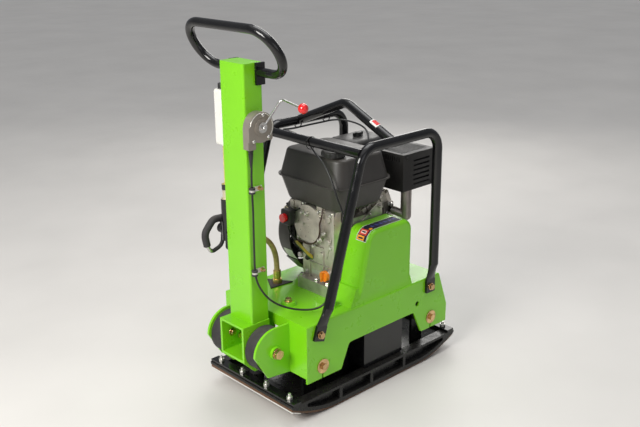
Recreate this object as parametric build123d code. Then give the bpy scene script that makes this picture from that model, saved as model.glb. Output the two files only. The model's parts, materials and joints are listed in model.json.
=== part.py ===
"""Reversible plate compactor: a petrol engine on a rubber-mounted console drives an exciter on a base plate.

Millimetres. +X is forwards, away from the operator's column; +Y is the machine's left side; +Z is up.
The origin is on the ground, under the middle of the sole.
"""

from build123d import *
from math import acos, atan2, cos, radians, sin, tan
import os

os.makedirs("parts", exist_ok=True)

# ---- driving dimensions -------------------------------------------------------------------------
PLATE_LENGTH, PLATE_WIDTH = 740.0, 400.0
RIM_Z = 66.0              # top of the plate's rim, level all along
MAT = 8.0                 # thickness of the paving mat under the sole
FLAT = 200.0              # the sole is flat this far ahead of and behind the middle
TIP_Z = 58.0              # underside of the turned-up tips

SIDE_Y = 191.0            # outer face of the console's side plates
SHEET = 6.0
DECK_Z = 298.0            # top of the deck
CONSOLE_LOW = 113.0
REAR_X = -304.0           # rear face of the console

PIVOT = (-361.0, 212.0)   # handle pivot, X and Z
EAR_Y, EAR_T, EAR_R = 107.0, 8.0, 76.0
DISC_R = 67.0             # rubber discs on the pivot
CHEEK_Y = 57.0            # outer face of the handle bracket's cheeks

COLUMN_X = (-394.0, -328.0)
COLUMN_Y = 52.5
COLUMN_Z = (291.0, 1055.0)
WALL = 4.0

RING_R, RING_BEND, RING_HALF = 13.0, 73.5, 112.0
RING_FOOT = (-341.0, 1029.0)
RING_TILT = 30.6          # the ring leans back this far from upright, degrees

CAGE_R = 15.5
CAGE_Y = 207.2            # centre line of the side hoops
CAGE_TOP = 794.5
HOOP_REAR, HOOP_FRONT = -92.0, 240.0

CRANK = (10.0, 455.0)     # crankshaft axis, X and Z
DRIVEN = (45.0, 112.0)    # axis of the exciter's driven shaft
GEAR_PITCH_R, TEETH = 55.0, 22
FREE = (DRIVEN[0] - 2 * GEAR_PITCH_R, DRIVEN[1])
BELT_Y = -140.0
CLUTCH_R, PULLEY_R = 38.0, 34.5     # belt line radii on the engine's clutch and on the exciter
FIT = 0.05                # radial clearance of a running fit
GAP = 0.3                 # clearance between faces that pass each other

THROTTLE = (-358.0, 882.0)  # throttle lever pivot, X and Z
TRAVEL = (-366.0, 546.0)    # travel lever pivot, X and Z


# ---- helpers ------------------------------------------------------------------------------------
def save(name, *shapes):
    """Write one node: every solid of the given shapes."""
    solids = [solid for shape in shapes for solid in shape.solids()]
    whole = solids[0] if len(solids) == 1 else Compound(children=solids)
    export_step(whole, f"parts/{name}.step")


def box(x, y, z):
    """A box from three (low, high) pairs."""
    size = [high - low for low, high in (x, y, z)]
    middle = [(low + high) / 2 for low, high in (x, y, z)]
    return Pos(*middle) * Box(*size)


def rod(start, end, radius, tip_radius=None):
    """A round bar or cone between two points."""
    along = Vector(*end) - Vector(*start)
    plane = Plane(origin=start, z_dir=along)
    low = (Align.CENTER, Align.CENTER, Align.MIN)
    if tip_radius is None:
        return plane * Cylinder(radius, along.length, align=low)
    return plane * Cone(radius, tip_radius, along.length, align=low)


def disc(centre, y, radius):
    """A cylinder about a transverse axis: centre is (X, Z), y is (low, high)."""
    return rod((centre[0], y[0], centre[1]), (centre[0], y[1], centre[1]), radius)


def ring(centre, y, outer, inner):
    return disc(centre, y, outer) - disc(centre, (y[0] - 1, y[1] + 1), inner)


def outline(points, radii=0):
    """A closed face in the XZ plane, with its corners rounded."""
    radii = [radii] * len(points) if isinstance(radii, (int, float)) else radii
    wire = FilletPolyline(*[(x, 0, z) for x, z in points], radius=radii, close=True)
    return make_face(wire)


def slab(points, y, radii=0):
    """An XZ outline given a thickness along Y."""
    return Pos(0, y[0], 0) * extrude(outline(points, radii), amount=y[1] - y[0], dir=(0, 1, 0))


def tube(points, radii, outer, inner=0):
    """A round bar or pipe along straight runs joined by arcs."""
    path = FilletPolyline(*points, radius=radii) if radii else Polyline(*points)
    start = Plane(origin=path @ 0, z_dir=path % 0)
    solid = sweep(start * Circle(outer), path=path)
    return solid - sweep(start * Circle(inner), path=path) if inner else solid


def hex_bolt(head, along, across, head_h, shank_r, length, washer=None):
    """A hexagon bolt whose head's bearing face is at `head` and whose shank runs along `along`."""
    plane = Plane(origin=head, z_dir=along)
    up = (Align.CENTER, Align.CENTER, Align.MAX)
    thick = washer[1] if washer else 0
    bolt = plane * Pos(0, 0, -thick) * extrude(RegularPolygon(across / 2, 6, major_radius=False), -head_h)
    bolt += plane * Cylinder(shank_r, length, align=(Align.CENTER, Align.CENTER, Align.MIN))
    if washer:
        bolt += plane * Cylinder(washer[0], thick, align=up)
    return bolt


def both_sides(solid):
    return [solid, mirror(solid, about=Plane.XZ)]


def cable_radii(points):
    """The largest arc that each corner of a cable's route has room for, and its print-out."""
    radii = []
    for before, corner, after in zip(points, points[1:], points[2:]):
        arriving = Vector(*corner) - Vector(*before)
        leaving = Vector(*after) - Vector(*corner)
        turn = radians(arriving.get_angle(leaving))
        radii.append(0.45 * min(arriving.length, leaving.length) / tan(turn / 2))
    print("cable arcs", [round(radius) for radius in radii])
    return radii


# ---- base plate and paving mat ------------------------------------------------------------------
HALF = PLATE_LENGTH / 2


def sole(lift):
    """The sole's curve from tip to tip, raised by `lift`: points along the bottom."""
    rise = TIP_Z - MAT
    curve = []
    for step in range(6):
        share = step / 5
        curve.append((FLAT + (HALF - FLAT) * share, MAT + lift + rise * share ** 1.7))
    return [(-x, z) for x, z in reversed(curve)] + curve


def band(low, high, y, x=HALF):
    """A solid between the sole's curve raised by `low` and by `high`, or a level top."""
    bottom = [(px, pz) for px, pz in sole(low)]
    top = [(x, high), (-x, high)] if high >= RIM_Z - 10 else [(px, pz) for px, pz in reversed(sole(high))]
    return slab(bottom + top, y)


SIDE_WALL = 34.0
FLOOR = 14.0
RIBS = (-173.0, -37.0, 116.0)
EXCITER_SEAT = 24.0


def base_plate():
    half_w = PLATE_WIDTH / 2
    plate = band(0, RIM_Z, (-half_w, half_w))
    plate -= band(FLOOR, RIM_Z + 10, (SIDE_WALL - half_w, half_w - SIDE_WALL)) & box(
        (-HALF + 34, HALF - 34), (-half_w, half_w), (0, 90))
    edges = [-318.0, *RIBS, 318.0]
    pocket = band(13, RIM_Z - 9, (half_w - 18, half_w + 1))
    for low, high in zip(edges, edges[1:]):
        window = box((low + 6, high - 6), (0, half_w + 2), (0, 90))
        for cut in both_sides(pocket & window):
            plate -= cut
    for x in (FREE[0] - 62, DRIVEN[0] + 62):
        plate += box((x - 20, x + 20), (-110, 110), (MAT + 4, EXCITER_SEAT))
    for x, _, z in shock_points():
        post = band(2, z + 30, (SHOCK_IN, SHOCK_IN + 10)) & box((x - 26, x + 26), (0, 200), (0, z + 30))
        for bracket in both_sides(post):
            plate += bracket
    plate += band(2, RIM_Z + 6, (BUMP[1] - 24, BUMP[1] + 24)) & rod((*BUMP, 0), (*BUMP, 100), 24)
    return plate - clamp_holes()


SHOCK_IN = 122.0          # inner face of the brackets that carry the rubber buffers
BUMP = (-310.0, 40.0)     # where the handle's rubber stop stands


def shock_points():
    return [(-241.0, SIDE_Y, 153.0), (253.0, SIDE_Y, 152.0)]


CLAMP_Y = (-165.0, -58.0, 58.0, 165.0)
CLAMP_X = (-352.0, 352.0)
BAR_HALF = 15.0


def clamp_holes():
    cuts = [rod((x, y, 0), (x, y, 100), 5.3) for x in CLAMP_X for y in CLAMP_Y]
    return cuts[0].fuse(*cuts[1:])


def paving_mat():
    mat = band(-MAT, 0, (-PLATE_WIDTH / 2 + 4, PLATE_WIDTH / 2 - 4))
    return mat - clamp_holes()


def clamp_bars():
    """A bar over the plate at each end, and a thin strip under the mat."""
    bars, strips, bolts = [], [], []
    for x in CLAMP_X:
        bars.append(box((x - BAR_HALF, x + BAR_HALF), (-200, 200), (RIM_Z, RIM_Z + 9)) - clamp_holes())
    under = band(-MAT - 3, -MAT, (-196, 196))
    for x in CLAMP_X:
        strips.append((under & box((x - BAR_HALF, x + BAR_HALF), (-200, 200), (0, 90))) - clamp_holes())
    for x in CLAMP_X:
        for y in CLAMP_Y:
            bolt = rod((x, y, 38), (x, y, 93), 5.0)
            bolt += Pos(x, y, RIM_Z + 9) * extrude(RegularPolygon(8.5, 6, major_radius=False), 8.5)
            bolts.append(bolt)
    return bars, strips, bolts


# ---- exciter ------------------------------------------------------------------------------------
HOUSING_Y = 100.0
BEARING_R, SHAFT_R = 36.0, 20.0


def stadium(radius, y):
    """The exciter's outline about its two shafts."""
    links = slab([(FREE[0], FREE[1] - radius), (DRIVEN[0], FREE[1] - radius),
                  (DRIVEN[0], FREE[1] + radius), (FREE[0], FREE[1] + radius)], y)
    return links + disc(FREE, y, radius) + disc(DRIVEN, y, radius)


def exciter_housing():
    case = stadium(71, (-HOUSING_Y, HOUSING_Y))
    feet = box((FREE[0] - 84, DRIVEN[0] + 84), (-HOUSING_Y, HOUSING_Y), (EXCITER_SEAT, EXCITER_SEAT + 18))
    case += feet
    case -= stadium(60, (-78, 80))
    for axis in (FREE, DRIVEN):
        case -= disc(axis, (-HOUSING_Y - 1, HOUSING_Y + 1), BEARING_R)
    return case


def exciter_covers():
    near = stadium(68, (-HOUSING_Y - 8, -HOUSING_Y)) - disc(DRIVEN, (-120, -90), SHAFT_R + 1)
    far = stadium(68, (HOUSING_Y, HOUSING_Y + 8)) + disc(FREE, (HOUSING_Y, 168), 27)
    far -= disc(FREE, (HOUSING_Y - 1, 160), 18)
    return near, far


def exciter_bearings():
    return [ring(axis, span, BEARING_R, SHAFT_R) for axis in (FREE, DRIVEN)
            for span in ((-98, -79), (81, 98))]


def eccentric(axis, y):
    """A half-round weight hanging below its shaft."""
    return disc(axis, y, 45) - box((axis[0] - 60, axis[0] + 60), (y[0] - 1, y[1] + 1), (axis[1], axis[1] + 60))


def exciter_shaft(axis, low_y):
    shaft = disc(axis, (low_y, 97), SHAFT_R - FIT)
    return shaft + eccentric(axis, (-70, 45))


def gear(axis, phase):
    """A spur gear bored for its shaft; its teeth have generous backlash."""
    y = (54, 74)
    module = 2 * GEAR_PITCH_R / TEETH
    root, tip = GEAR_PITCH_R - 0.9 * module, GEAR_PITCH_R + 0.55 * module
    wheel = disc(axis, y, root)
    half_pitch = 360 / TEETH / 2
    for index in range(TEETH):
        corners = []
        for radius, width in ((root - 1, 0.52), (tip, 0.22)):
            for sign in (-1, 1):
                angle = radians(phase + 2 * half_pitch * index + sign * half_pitch * width)
                corners.append((axis[0] + radius * cos(angle), axis[1] + radius * sin(angle)))
        low_left, low_right, top_left, top_right = corners
        wheel += slab([low_left, low_right, top_right, top_left], y)
    return wheel - disc(axis, (y[0] - 1, y[1] + 1), SHAFT_R - FIT)


# ---- belt drive ---------------------------------------------------------------------------------
BELT_W, BELT_T = 13.0, 9.0


def pulley(axis, belt_r, y, bore):
    """A grooved wheel; the groove leaves the belt a small clearance."""
    wheel = disc(axis, y, belt_r + 7)
    groove = (BELT_Y - BELT_W / 2 - GAP, BELT_Y + BELT_W / 2 + GAP)
    wheel -= ring(axis, groove, belt_r + 10, belt_r - BELT_T / 2 - GAP)
    return wheel - disc(axis, (y[0] - 1, y[1] + 1), bore)


def drive_belt():
    """The belt's loop round both pulleys, from its outer line less its inner line."""
    y = (BELT_Y - BELT_W / 2, BELT_Y + BELT_W / 2)

    def loop(grow):
        big, small = CLUTCH_R + grow, PULLEY_R + grow
        across = Vector(DRIVEN[0] - CRANK[0], DRIVEN[1] - CRANK[1])
        heading = atan2(across.Y, across.X)
        spread = acos((CLUTCH_R - PULLEY_R) / across.length)
        corners = []
        for angle in (heading + spread, heading - spread):
            corners.append(((CRANK[0] + big * cos(angle), CRANK[1] + big * sin(angle)),
                            (DRIVEN[0] + small * cos(angle), DRIVEN[1] + small * sin(angle))))
        (top_a, low_a), (top_b, low_b) = corners
        return slab([top_a, low_a, low_b, top_b], y) + disc(CRANK, y, big) + disc(DRIVEN, y, small)

    return loop(BELT_T / 2) - loop(-BELT_T / 2)


# ---- console ------------------------------------------------------------------------------------
CUT_OUT = [(-163, CONSOLE_LOW), (-129, 192), (167, 194), (206, CONSOLE_LOW)]
FRONT = [(333, CONSOLE_LOW), (334, 176), (290, DECK_Z)]
EAR_TOP, EAR_LOW = PIVOT[1] + EAR_R, 129.0
EAR_CORNER = (-389.0, 138.0)                # where the ear's slanted rear edge meets its lower edge
BOSS, BOSS_H = (-232.0, -30.0), 11.0        # the deck's boss, X and Y
DISC_RECESS = (EAR_LOW + 34, DECK_Z - 36)   # the rear plate is open here for the rubber discs
BELT_SLOT = ((-62.0, 132.0), (-176.0, -118.0))


def side_plate():
    points = [(REAR_X, CONSOLE_LOW), *CUT_OUT, *FRONT, (REAR_X, DECK_Z)]
    radii = [0, 6, 16, 14, 6, 0, 10, 0, 0]
    plate = slab(points, (SIDE_Y - SHEET, SIDE_Y), radii)
    for x, _, z in shock_points():
        plate -= disc((x, z), (0, 250), 7)
        plate -= box((x - 3, x + 3), (100, 250), (CONSOLE_LOW - 5, z))
    plate -= disc((184, 220), (0, 250), 9)
    for x, z in cage_feet():
        plate -= disc((x, z), (0, 250), 6.3)
    return plate


def cage_feet():
    return [(-256.0, 263.0), (HOOP_FRONT, 268.0)]


def ear():
    """A pivot ear: a plate round above the pivot, cut straight below it, that carries one rubber disc."""
    x, z = PIVOT
    y = (EAR_Y, EAR_Y + EAR_T)
    plate = disc(PIVOT, y, EAR_R) - slab([(x - 84, z + 18), EAR_CORNER, (x, EAR_LOW - 9), (x - 99, EAR_LOW - 9)],
                                         (EAR_Y - 1, y[1] + 1))
    plate += slab([(REAR_X, EAR_TOP), (x, EAR_TOP), EAR_CORNER, (REAR_X, EAR_LOW)], y)
    plate += disc(PIVOT, (y[1], y[1] + 9), 20)
    plate -= disc(PIVOT, (0, 200), 10.2)
    return plate & box((-500, REAR_X + SHEET), (0, 200), (EAR_LOW, 400))


def console():
    deck = box((REAR_X, 290), (-SIDE_Y, SIDE_Y), (DECK_Z - SHEET, DECK_Z))
    rear = box((REAR_X, REAR_X + SHEET), (-SIDE_Y, SIDE_Y), (EAR_LOW, DECK_Z))
    front = slab([FRONT[1], FRONT[2], (FRONT[2][0] - SHEET, FRONT[2][1]), (FRONT[1][0] - SHEET, FRONT[1][1])],
                 (-SIDE_Y, SIDE_Y))
    body = deck + rear + front
    for plate in both_sides(side_plate()):
        body += plate
    long_edges = [edge for edge in body.edges().filter_by(Axis.X)
                  if abs(abs(edge.center().Y) - SIDE_Y) < 0.1 and abs(edge.center().Z - DECK_Z) < 0.1]
    body = fillet(long_edges, 5)
    for recess in both_sides(box((REAR_X - 1, REAR_X + SHEET + 1), (CHEEK_Y - 13, EAR_Y), DISC_RECESS)):
        body -= recess
    for plate in both_sides(ear()):
        body += plate
    body -= box(*BELT_SLOT, (DECK_Z - 20, DECK_Z + 5))
    body -= rod((-150, 118, 280), (-150, 118, 310), 12)
    body += rod((*BOSS, DECK_Z - 1), (*BOSS, DECK_Z + BOSS_H), 25, 22)
    return body - rod((*BOSS, DECK_Z - 20), (*BOSS, DECK_Z + 20), 6.3)


def frame_bolts():
    """The cage's and the buffers' M12 bolts, and the one on the deck's boss."""
    bolts = []
    for x, z in cage_feet():
        bolt = hex_bolt((x, SIDE_Y + GAP + FOOT_T, z), (0, -1, 0), 18, 7.5, 6, 22, washer=(12, 2))
        bolts += both_sides(bolt)
    for x, y, z in shock_points():
        bolt = hex_bolt((x, y, z), (0, -1, 0), 19, 8, 6, 14, washer=(23, 3))
        bolts += both_sides(bolt)
    bolts.append(hex_bolt((*BOSS, DECK_Z + BOSS_H), (0, 0, -1), 18, 7.5, 6, 24, washer=(12, 2)))
    return bolts


def shock_mounts():
    """Rubber buffers between the plate's brackets and the console's side plates."""
    mounts = []
    for x, _, z in shock_points():
        buffer = disc((x, z), (SHOCK_IN + 10, SIDE_Y - SHEET), 30) - disc((x, z), (SIDE_Y - 16, SIDE_Y), 6.3)
        mounts += both_sides(buffer)
    return mounts


def belt_guard():
    """The sheet skirt under the deck round the lower pulley, open below."""
    x, y, z = (-52, 124), (-180, -114), (RIM_Z + 3, DECK_Z - SHEET - 0.5)
    guard = box(x, y, z) - box((x[0] + 2.5, x[1] - 2.5), (y[0] + 2.5, y[1] - 2.5), (z[0] - 1, z[1] + 1))
    return guard - disc(DRIVEN, (-118, -110), SHAFT_R + 6)


# ---- cage ---------------------------------------------------------------------------------------
FOOT_LOW, FOOT_HALF, FOOT_T = 247.0, 20.0, 8.5
FOOT_DROP, FOOT_FLAT, FOOT_ROUND = 20.0, 26.0, 84.0   # from the bolt: down to the end, up to the flat's end, to the tube
HOOP_LEAN = 17.3          # the rear leg's slant from upright, degrees


def cage_hoop():
    """One side hoop: a slanted rear leg, a level top and an upright front leg, with flattened feet."""
    rear, front = cage_feet()
    points = [(-231, CAGE_Y, 343.2), (HOOP_REAR, CAGE_Y, CAGE_TOP), (HOOP_FRONT, CAGE_Y, CAGE_TOP),
              (HOOP_FRONT, CAGE_Y, 352)]
    hoop = tube(points, [58, 58], CAGE_R)
    inner = SIDE_Y + GAP
    for (x, z), lean in ((rear, HOOP_LEAN), (front, 0)):
        leg = Pos(x, 0, z) * Rot(0, lean, 0)
        foot = leg * box((-FOOT_HALF, FOOT_HALF), (inner, inner + FOOT_T), (-FOOT_DROP, FOOT_FLAT))
        squash = loft([leg * Pos(0, inner + FOOT_T / 2, FOOT_FLAT) * RectangleRounded(2 * FOOT_HALF, FOOT_T, 3.5),
                       leg * Pos(0, CAGE_Y, FOOT_ROUND) * Circle(CAGE_R)])
        hoop += foot + squash
        hoop -= disc((x, z), (inner - 5, inner + 40), 6.3)
    return hoop & box((-400, 400), (inner, 400), (FOOT_LOW - 20, 900))


CROSSBAR = (-99.0, 781.0)
ARCH_FOOT_X, ARCH_TOP_X, ARCH_RISE = 34.0, 47.0, 86.0


def crossbar(hoops):
    x, z = CROSSBAR
    bar = rod((x, -CAGE_Y, z), (x, CAGE_Y, z), 14.5)
    for hoop in hoops:
        bar -= hoop
    return max(bar.solids(), key=lambda solid: solid.volume)


def lifting_arch(hoops):
    top = CAGE_TOP + ARCH_RISE
    points = [(ARCH_FOOT_X, -CAGE_Y, CAGE_TOP), (ARCH_TOP_X, 0, top), (ARCH_FOOT_X, CAGE_Y, CAGE_TOP)]
    arch = tube(points, [52], 15)
    for hoop in hoops:
        arch -= hoop
    return max(arch.solids(), key=lambda solid: solid.volume)


# ---- belt cover ---------------------------------------------------------------------------------
COVER_Y = (-187.0, -95.0)
COVER_SHEET = 3.0


def belt_cover():
    """The upper belt cover: rounded top, sloping rear, and a skirt that flares to the deck."""
    low, crease, top = DECK_Z, 347.0, 521.0
    body_y = (COVER_Y[0] + 5, COVER_Y[1])
    shell = slab([(-100, low), (-72, crease), (-30, top), (163, top), (160, low)], body_y, [0, 30, 42, 38, 0])
    near = [edge for edge in shell.edges() if abs(edge.center().Y - body_y[0]) < 0.1
            and edge.center().Z > low + 1]
    shell = fillet(near, 14)
    skirt = loft([Pos(20, (COVER_Y[0] + COVER_Y[1]) / 2, low) * Rectangle(280, COVER_Y[1] - COVER_Y[0]),
                  Pos(36, (body_y[0] + body_y[1]) / 2 + 4, crease) * Rectangle(238, body_y[1] - body_y[0] - 8)])
    shell += skirt
    hollow = slab([(-97, low - 1), (-68, crease), (-26, top - 3), (159, top - 3), (156, low - 1)],
                  (body_y[0] + COVER_SHEET, body_y[1] + 1), [0, 30, 40, 36, 0])
    inner_near = [edge for edge in hollow.edges() if abs(edge.center().Y - body_y[0] - COVER_SHEET) < 0.1
                  and edge.center().Z > low]
    return shell - fillet(inner_near, 11)


def cover_latch():
    """The bracket at the cover's rear foot, with its bolt."""
    latch = box((-150, -124), (-150, -126), (DECK_Z, DECK_Z + 4))
    latch += box((-150, -146), (-150, -126), (DECK_Z, DECK_Z + 26))
    return latch + rod((-139, -138, DECK_Z), (-139, -138, DECK_Z + 14), 6)


# ---- engine -------------------------------------------------------------------------------------
CASE_X, CASE_Y, CASE_Z = (-90.0, 98.0), (-86.0, 88.0), (322.0, 576.0)
SUMP_Y, SUMP_X, SUMP_Z = 58.0, -60.0, 440.0   # below SUMP_Z the case is narrower at its rear far corner
CYL_DIR = (cos(radians(25)), sin(radians(25)))
SHOULDER_Z = 536.0        # the case steps down to this height on its near side
HEAD = 160.0              # from the crankshaft to the head's joint along the cylinder


def engine_rails():
    return [box((x, x + 44), (-84, 56), (DECK_Z, CASE_Z[0])) for x in (-117, 106)]


def case_shoulder():
    """The space over the case's low near side."""
    return box((CASE_X[0] + 28, CASE_X[1] + 1), (CASE_Y[0] - 1, -20), (SHOULDER_Z, CASE_Z[1] + 1))


def crankcase():
    case = box(CASE_X, CASE_Y, CASE_Z)
    case = fillet(case.edges().filter_by(Axis.Y), 26)
    case -= box((CASE_X[0] - 1, SUMP_X), (SUMP_Y, CASE_Y[1] + 1), (CASE_Z[0] - 1, SUMP_Z))
    case += box((-117, 150), (-84, 56), (CASE_Z[0], CASE_Z[0] + 14))
    case -= case_shoulder()
    case += rod((CASE_X[0] + 6, 16, 514), (CASE_X[0] - 16, 16, 514), 64)
    case -= box((CASE_X[0] + 10, CASE_X[1] - 10), (CASE_Y[0] + 12, SUMP_Y - 12), (CASE_Z[0] + 10, SHOULDER_Z - 10))
    case -= box((SUMP_X + 10, CASE_X[1] - 10), (CASE_Y[0] + 12, CASE_Y[1] - 12), (CASE_Z[0] + 10, SHOULDER_Z - 10))
    case -= disc(CRANK, (-100, 100), 17)
    case -= rod((CRANK[0], 0, CRANK[1]), (CRANK[0] + 200 * CYL_DIR[0], 0, CRANK[1] + 200 * CYL_DIR[1]), 50)
    y, z = DIPSTICK
    case += rod((-84, y, z), (-98, y, z), 16)
    return case - rod((-70, y, z), (-110, y, z), 10.2)


def along_cylinder(distance, y=0, up=0):
    return (CRANK[0] + distance * CYL_DIR[0] - up * CYL_DIR[1], y, CRANK[1] + distance * CYL_DIR[1] + up * CYL_DIR[0])


def cylinder():
    """The finned barrel and head, with the rocker cover on its end."""
    tilt = Plane(origin=along_cylinder(0), x_dir=(0, 1, 0), z_dir=(CYL_DIR[0], 0, CYL_DIR[1]))
    barrel = rod(along_cylinder(60), along_cylinder(HEAD), 49.5) - rod(along_cylinder(59), along_cylinder(HEAD - 4), 39)
    for index in range(9):
        barrel += tilt * Pos(0, 0, 104 + 6.6 * index) * Box(116, 120, 2.6)
    barrel += tilt * Pos(0, 0, HEAD + 14) * Box(118, 106, 34)
    cover = tilt * Pos(0, 0, HEAD + 46) * Box(92, 70, 30)
    cover = fillet(cover.edges(), 9)
    case = box(CASE_X, CASE_Y, CASE_Z) - rod(along_cylinder(0), along_cylinder(300), 49.6) - case_shoulder()
    return [max((barrel - case).solids(), key=lambda solid: solid.volume), cover]


def fuel_tank():
    """A hollow tank: two pressed halves meeting at a flange."""
    x, y = (-125.0, 108.0), (-146.0, 146.0)
    flange_z, top, low = 661.0, 744.0, 580.0

    def section(inset, z, radius):
        width, depth = x[1] - x[0] - 2 * inset, y[1] - y[0] - 2 * inset
        return Pos((x[0] + x[1]) / 2, (y[0] + y[1]) / 2, z) * RectangleRounded(width, depth, radius)

    upper = loft([section(0, flange_z, 44), section(17, top, 40)])
    lower = loft([section(22, low, 36), section(0, flange_z, 44)])
    lower = fillet(lower.faces().sort_by(Axis.Z)[0].edges(), 12)
    tank = fillet(upper.faces().sort_by(Axis.Z)[-1].edges(), 12) + lower
    tank += extrude(section(-6, flange_z - 2, 48), 4)
    inner = loft([section(32, low + 4, 26), section(4, flange_z, 40)]) + loft(
        [section(4, flange_z, 40), section(22, top - 3, 36)])
    tank -= inner
    tank += rod((*CAP, top - 1), (*CAP, top + 5), 27)
    return tank - rod((*CAP, top - 20), (*CAP, top + 10), 22)


CAP = (-78.0, -72.0)


def fuel_cap():
    cap = rod((*CAP, 749.3), (*CAP, 764), 37.5)
    cap = fillet(cap.edges().sort_by(Axis.Z)[-1], 5)
    for turn in range(12):
        cap -= Pos(*CAP, 756) * Rot(0, 0, 30 * turn) * Pos(39, 0, 0) * Cylinder(3.5, 20)
    return cap + rod((*CAP, 735), (*CAP, 749.3), 22 - GAP)


FAN_R = 124.0
FAN_Y = (96.0, 160.0)


def fan_housing():
    """The blower housing round the flywheel, open to the crankcase."""
    shell = disc(CRANK, FAN_Y, FAN_R)
    shell = fillet(shell.edges().sort_by(Axis.Y)[-1], 18)
    shell += box((CRANK[0], CRANK[0] + 130), (FAN_Y[0], FAN_Y[1] - 10), (CRANK[1], CRANK[1] + 110))
    shell += slab([(-82, 366), (-30, 314), (90, 314), (128, 400)], (FAN_Y[0], FAN_Y[1] - 10), [0, 8, 8, 0])
    shell -= disc(CRANK, (FAN_Y[0] - 1, FAN_Y[1] - 4), FAN_R - 4)
    shell -= box((CRANK[0], CRANK[0] + 126), (FAN_Y[0] - 1, FAN_Y[1] - 14), (CRANK[1], CRANK[1] + 106))
    shell -= slab([(-76, 372), (-28, 318), (88, 318), (122, 400)], (FAN_Y[0] - 1, FAN_Y[1] - 14), [0, 6, 6, 0])
    return shell - disc(CRANK, (FAN_Y[1] - 10, FAN_Y[1] + 5), 84)


def recoil_cover():
    """The recoil starter's slotted dish, with the rope's eyelet at its top front."""
    cover = disc(CRANK, (FAN_Y[1], FAN_Y[1] + 26), 92)
    cover = fillet(cover.edges().sort_by(Axis.Y)[-1], 12)
    cover -= disc(CRANK, (FAN_Y[1] - 1, FAN_Y[1] + 22), 86)
    for turn in range(16):
        angle = radians(22.5 * turn)
        x, z = CRANK[0] + 64 * cos(angle), CRANK[1] + 64 * sin(angle)
        cover -= Pos(x, FAN_Y[1] + 24, z) * Rot(0, -22.5 * turn, 0) * Box(26, 8, 6)
    eyelet = Vector(*ROPE_EXIT)
    pull = Vector(*PULL)
    start, end = tuple(eyelet - pull * 22), tuple(eyelet)
    cover += rod(start, end, 11) - disc(CRANK, (FAN_Y[1] - 1, FAN_Y[1] + 22), 86)
    return cover - rod(tuple(eyelet - pull * 40), tuple(eyelet + pull * 5), 3.2)


PULL = (0.0, cos(radians(25)), sin(radians(25)))
ROPE_EXIT = (52.0, 192.0, 520.0)


def recoil_grip():
    """The starter's T grip, its back 14 mm off the eyelet."""
    centre = Vector(*ROPE_EXIT) + Vector(*PULL) * 26
    bar = rod((centre.X - 42, centre.Y, centre.Z), (centre.X + 42, centre.Y, centre.Z), 10)
    bar = fillet(bar.edges(), 6)
    return bar + rod(tuple(Vector(*ROPE_EXIT) + Vector(*PULL) * 12), tuple(centre), 8)


def recoil_rope():
    start = Vector(*ROPE_EXIT) - Vector(*PULL) * 12
    return rod(tuple(start), tuple(Vector(*ROPE_EXIT) + Vector(*PULL) * 12), 2)


def crankshaft():
    """The shaft with its throw; the output end carries the clutch, the other the flywheel."""
    shaft = disc(CRANK, (-176, -30), 12.5) + disc(CRANK, (30, 150), 12.5)
    pin = (CRANK[0], CRANK[1] + 29)
    for y in ((-30, -16), (16, 30)):
        shaft += disc(CRANK, y, 46) & box((CRANK[0] - 60, CRANK[0] + 60), (-60, 60), (CRANK[1] - 60, CRANK[1] + 14))
        shaft += disc(pin, y, 17) + slab([(CRANK[0] - 17, CRANK[1]), (CRANK[0] + 17, CRANK[1]),
                                          (CRANK[0] + 17, pin[1]), (CRANK[0] - 17, pin[1])], y)
    return shaft + disc(pin, (-30, 30), 15)


def crank_bearings():
    return [ring(CRANK, span, 17, 12.5 + FIT) for span in ((CASE_Y[0], CASE_Y[0] + 12), (CASE_Y[1] - 12, CASE_Y[1]))]


def flywheel():
    wheel = disc(CRANK, (104, 122), 92)
    for turn in range(16):
        angle = 22.5 * turn
        wheel += Pos(CRANK[0], 132, CRANK[1]) * Rot(0, -angle, 0) * Pos(84, 0, 0) * Box(42, 22, 3)
    return wheel - disc(CRANK, (90, 150), 12.5)


MUFFLER = ((160.0, 294.0), (-140.0, -24.0), (600.0, 712.0))
STUB = (207.0, -112.0)


def muffler():
    """A box silencer and the pipe that feeds it from the flange on the cylinder head."""
    can = fillet(box(*MUFFLER).edges(), 16)
    can -= fillet(box(*[(low + 3, high - 3) for low, high in MUFFLER]).edges(), 13)
    pipe = rod((*STUB, 502), (*STUB, MUFFLER[2][0] + 2), 17.5) + Pos(*STUB, 502) * Sphere(17.5)
    pipe += rod((*STUB, 502), (178.5, -72, 519.5), 14)
    return can + pipe + box((150, 196), (-67, -59.5), (500, 542))


def muffler_guard():
    x, y, z = MUFFLER
    top, front = z[1] + 6, x[1] + 6
    shell = box((x[0] - 6, front), (y[0] - 7, y[0] - 3), (z[0] - 2, top))
    shell += box((x[0] - 6, front), (y[0] - 7, y[1] + 2), (top - 3, top))
    for wall in ((x[0] - 9, x[0] - 5), (front - 3, front)):
        shell += box(wall, (y[0] - 7, y[1] + 2), (z[0] - 2, top))
    for index in range(12):
        low = x[0] + 6 + 10.2 * index
        shell -= box((low, low + 4.5), (y[0] + 12, y[1] - 14), (top - 8, top + 2))
        side = y[0] + 10 + 9 * index
        shell -= box((x[0] - 12, x[0] - 4), (side, side + 4.5), (top - 26, top - 8))
    for index in range(6):
        low = z[0] + 12 + 15.5 * index
        shell -= box((x[0] + 40, front - 24), (y[0] - 10, y[0] - 1), (low, low + 6))
    return shell


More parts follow.
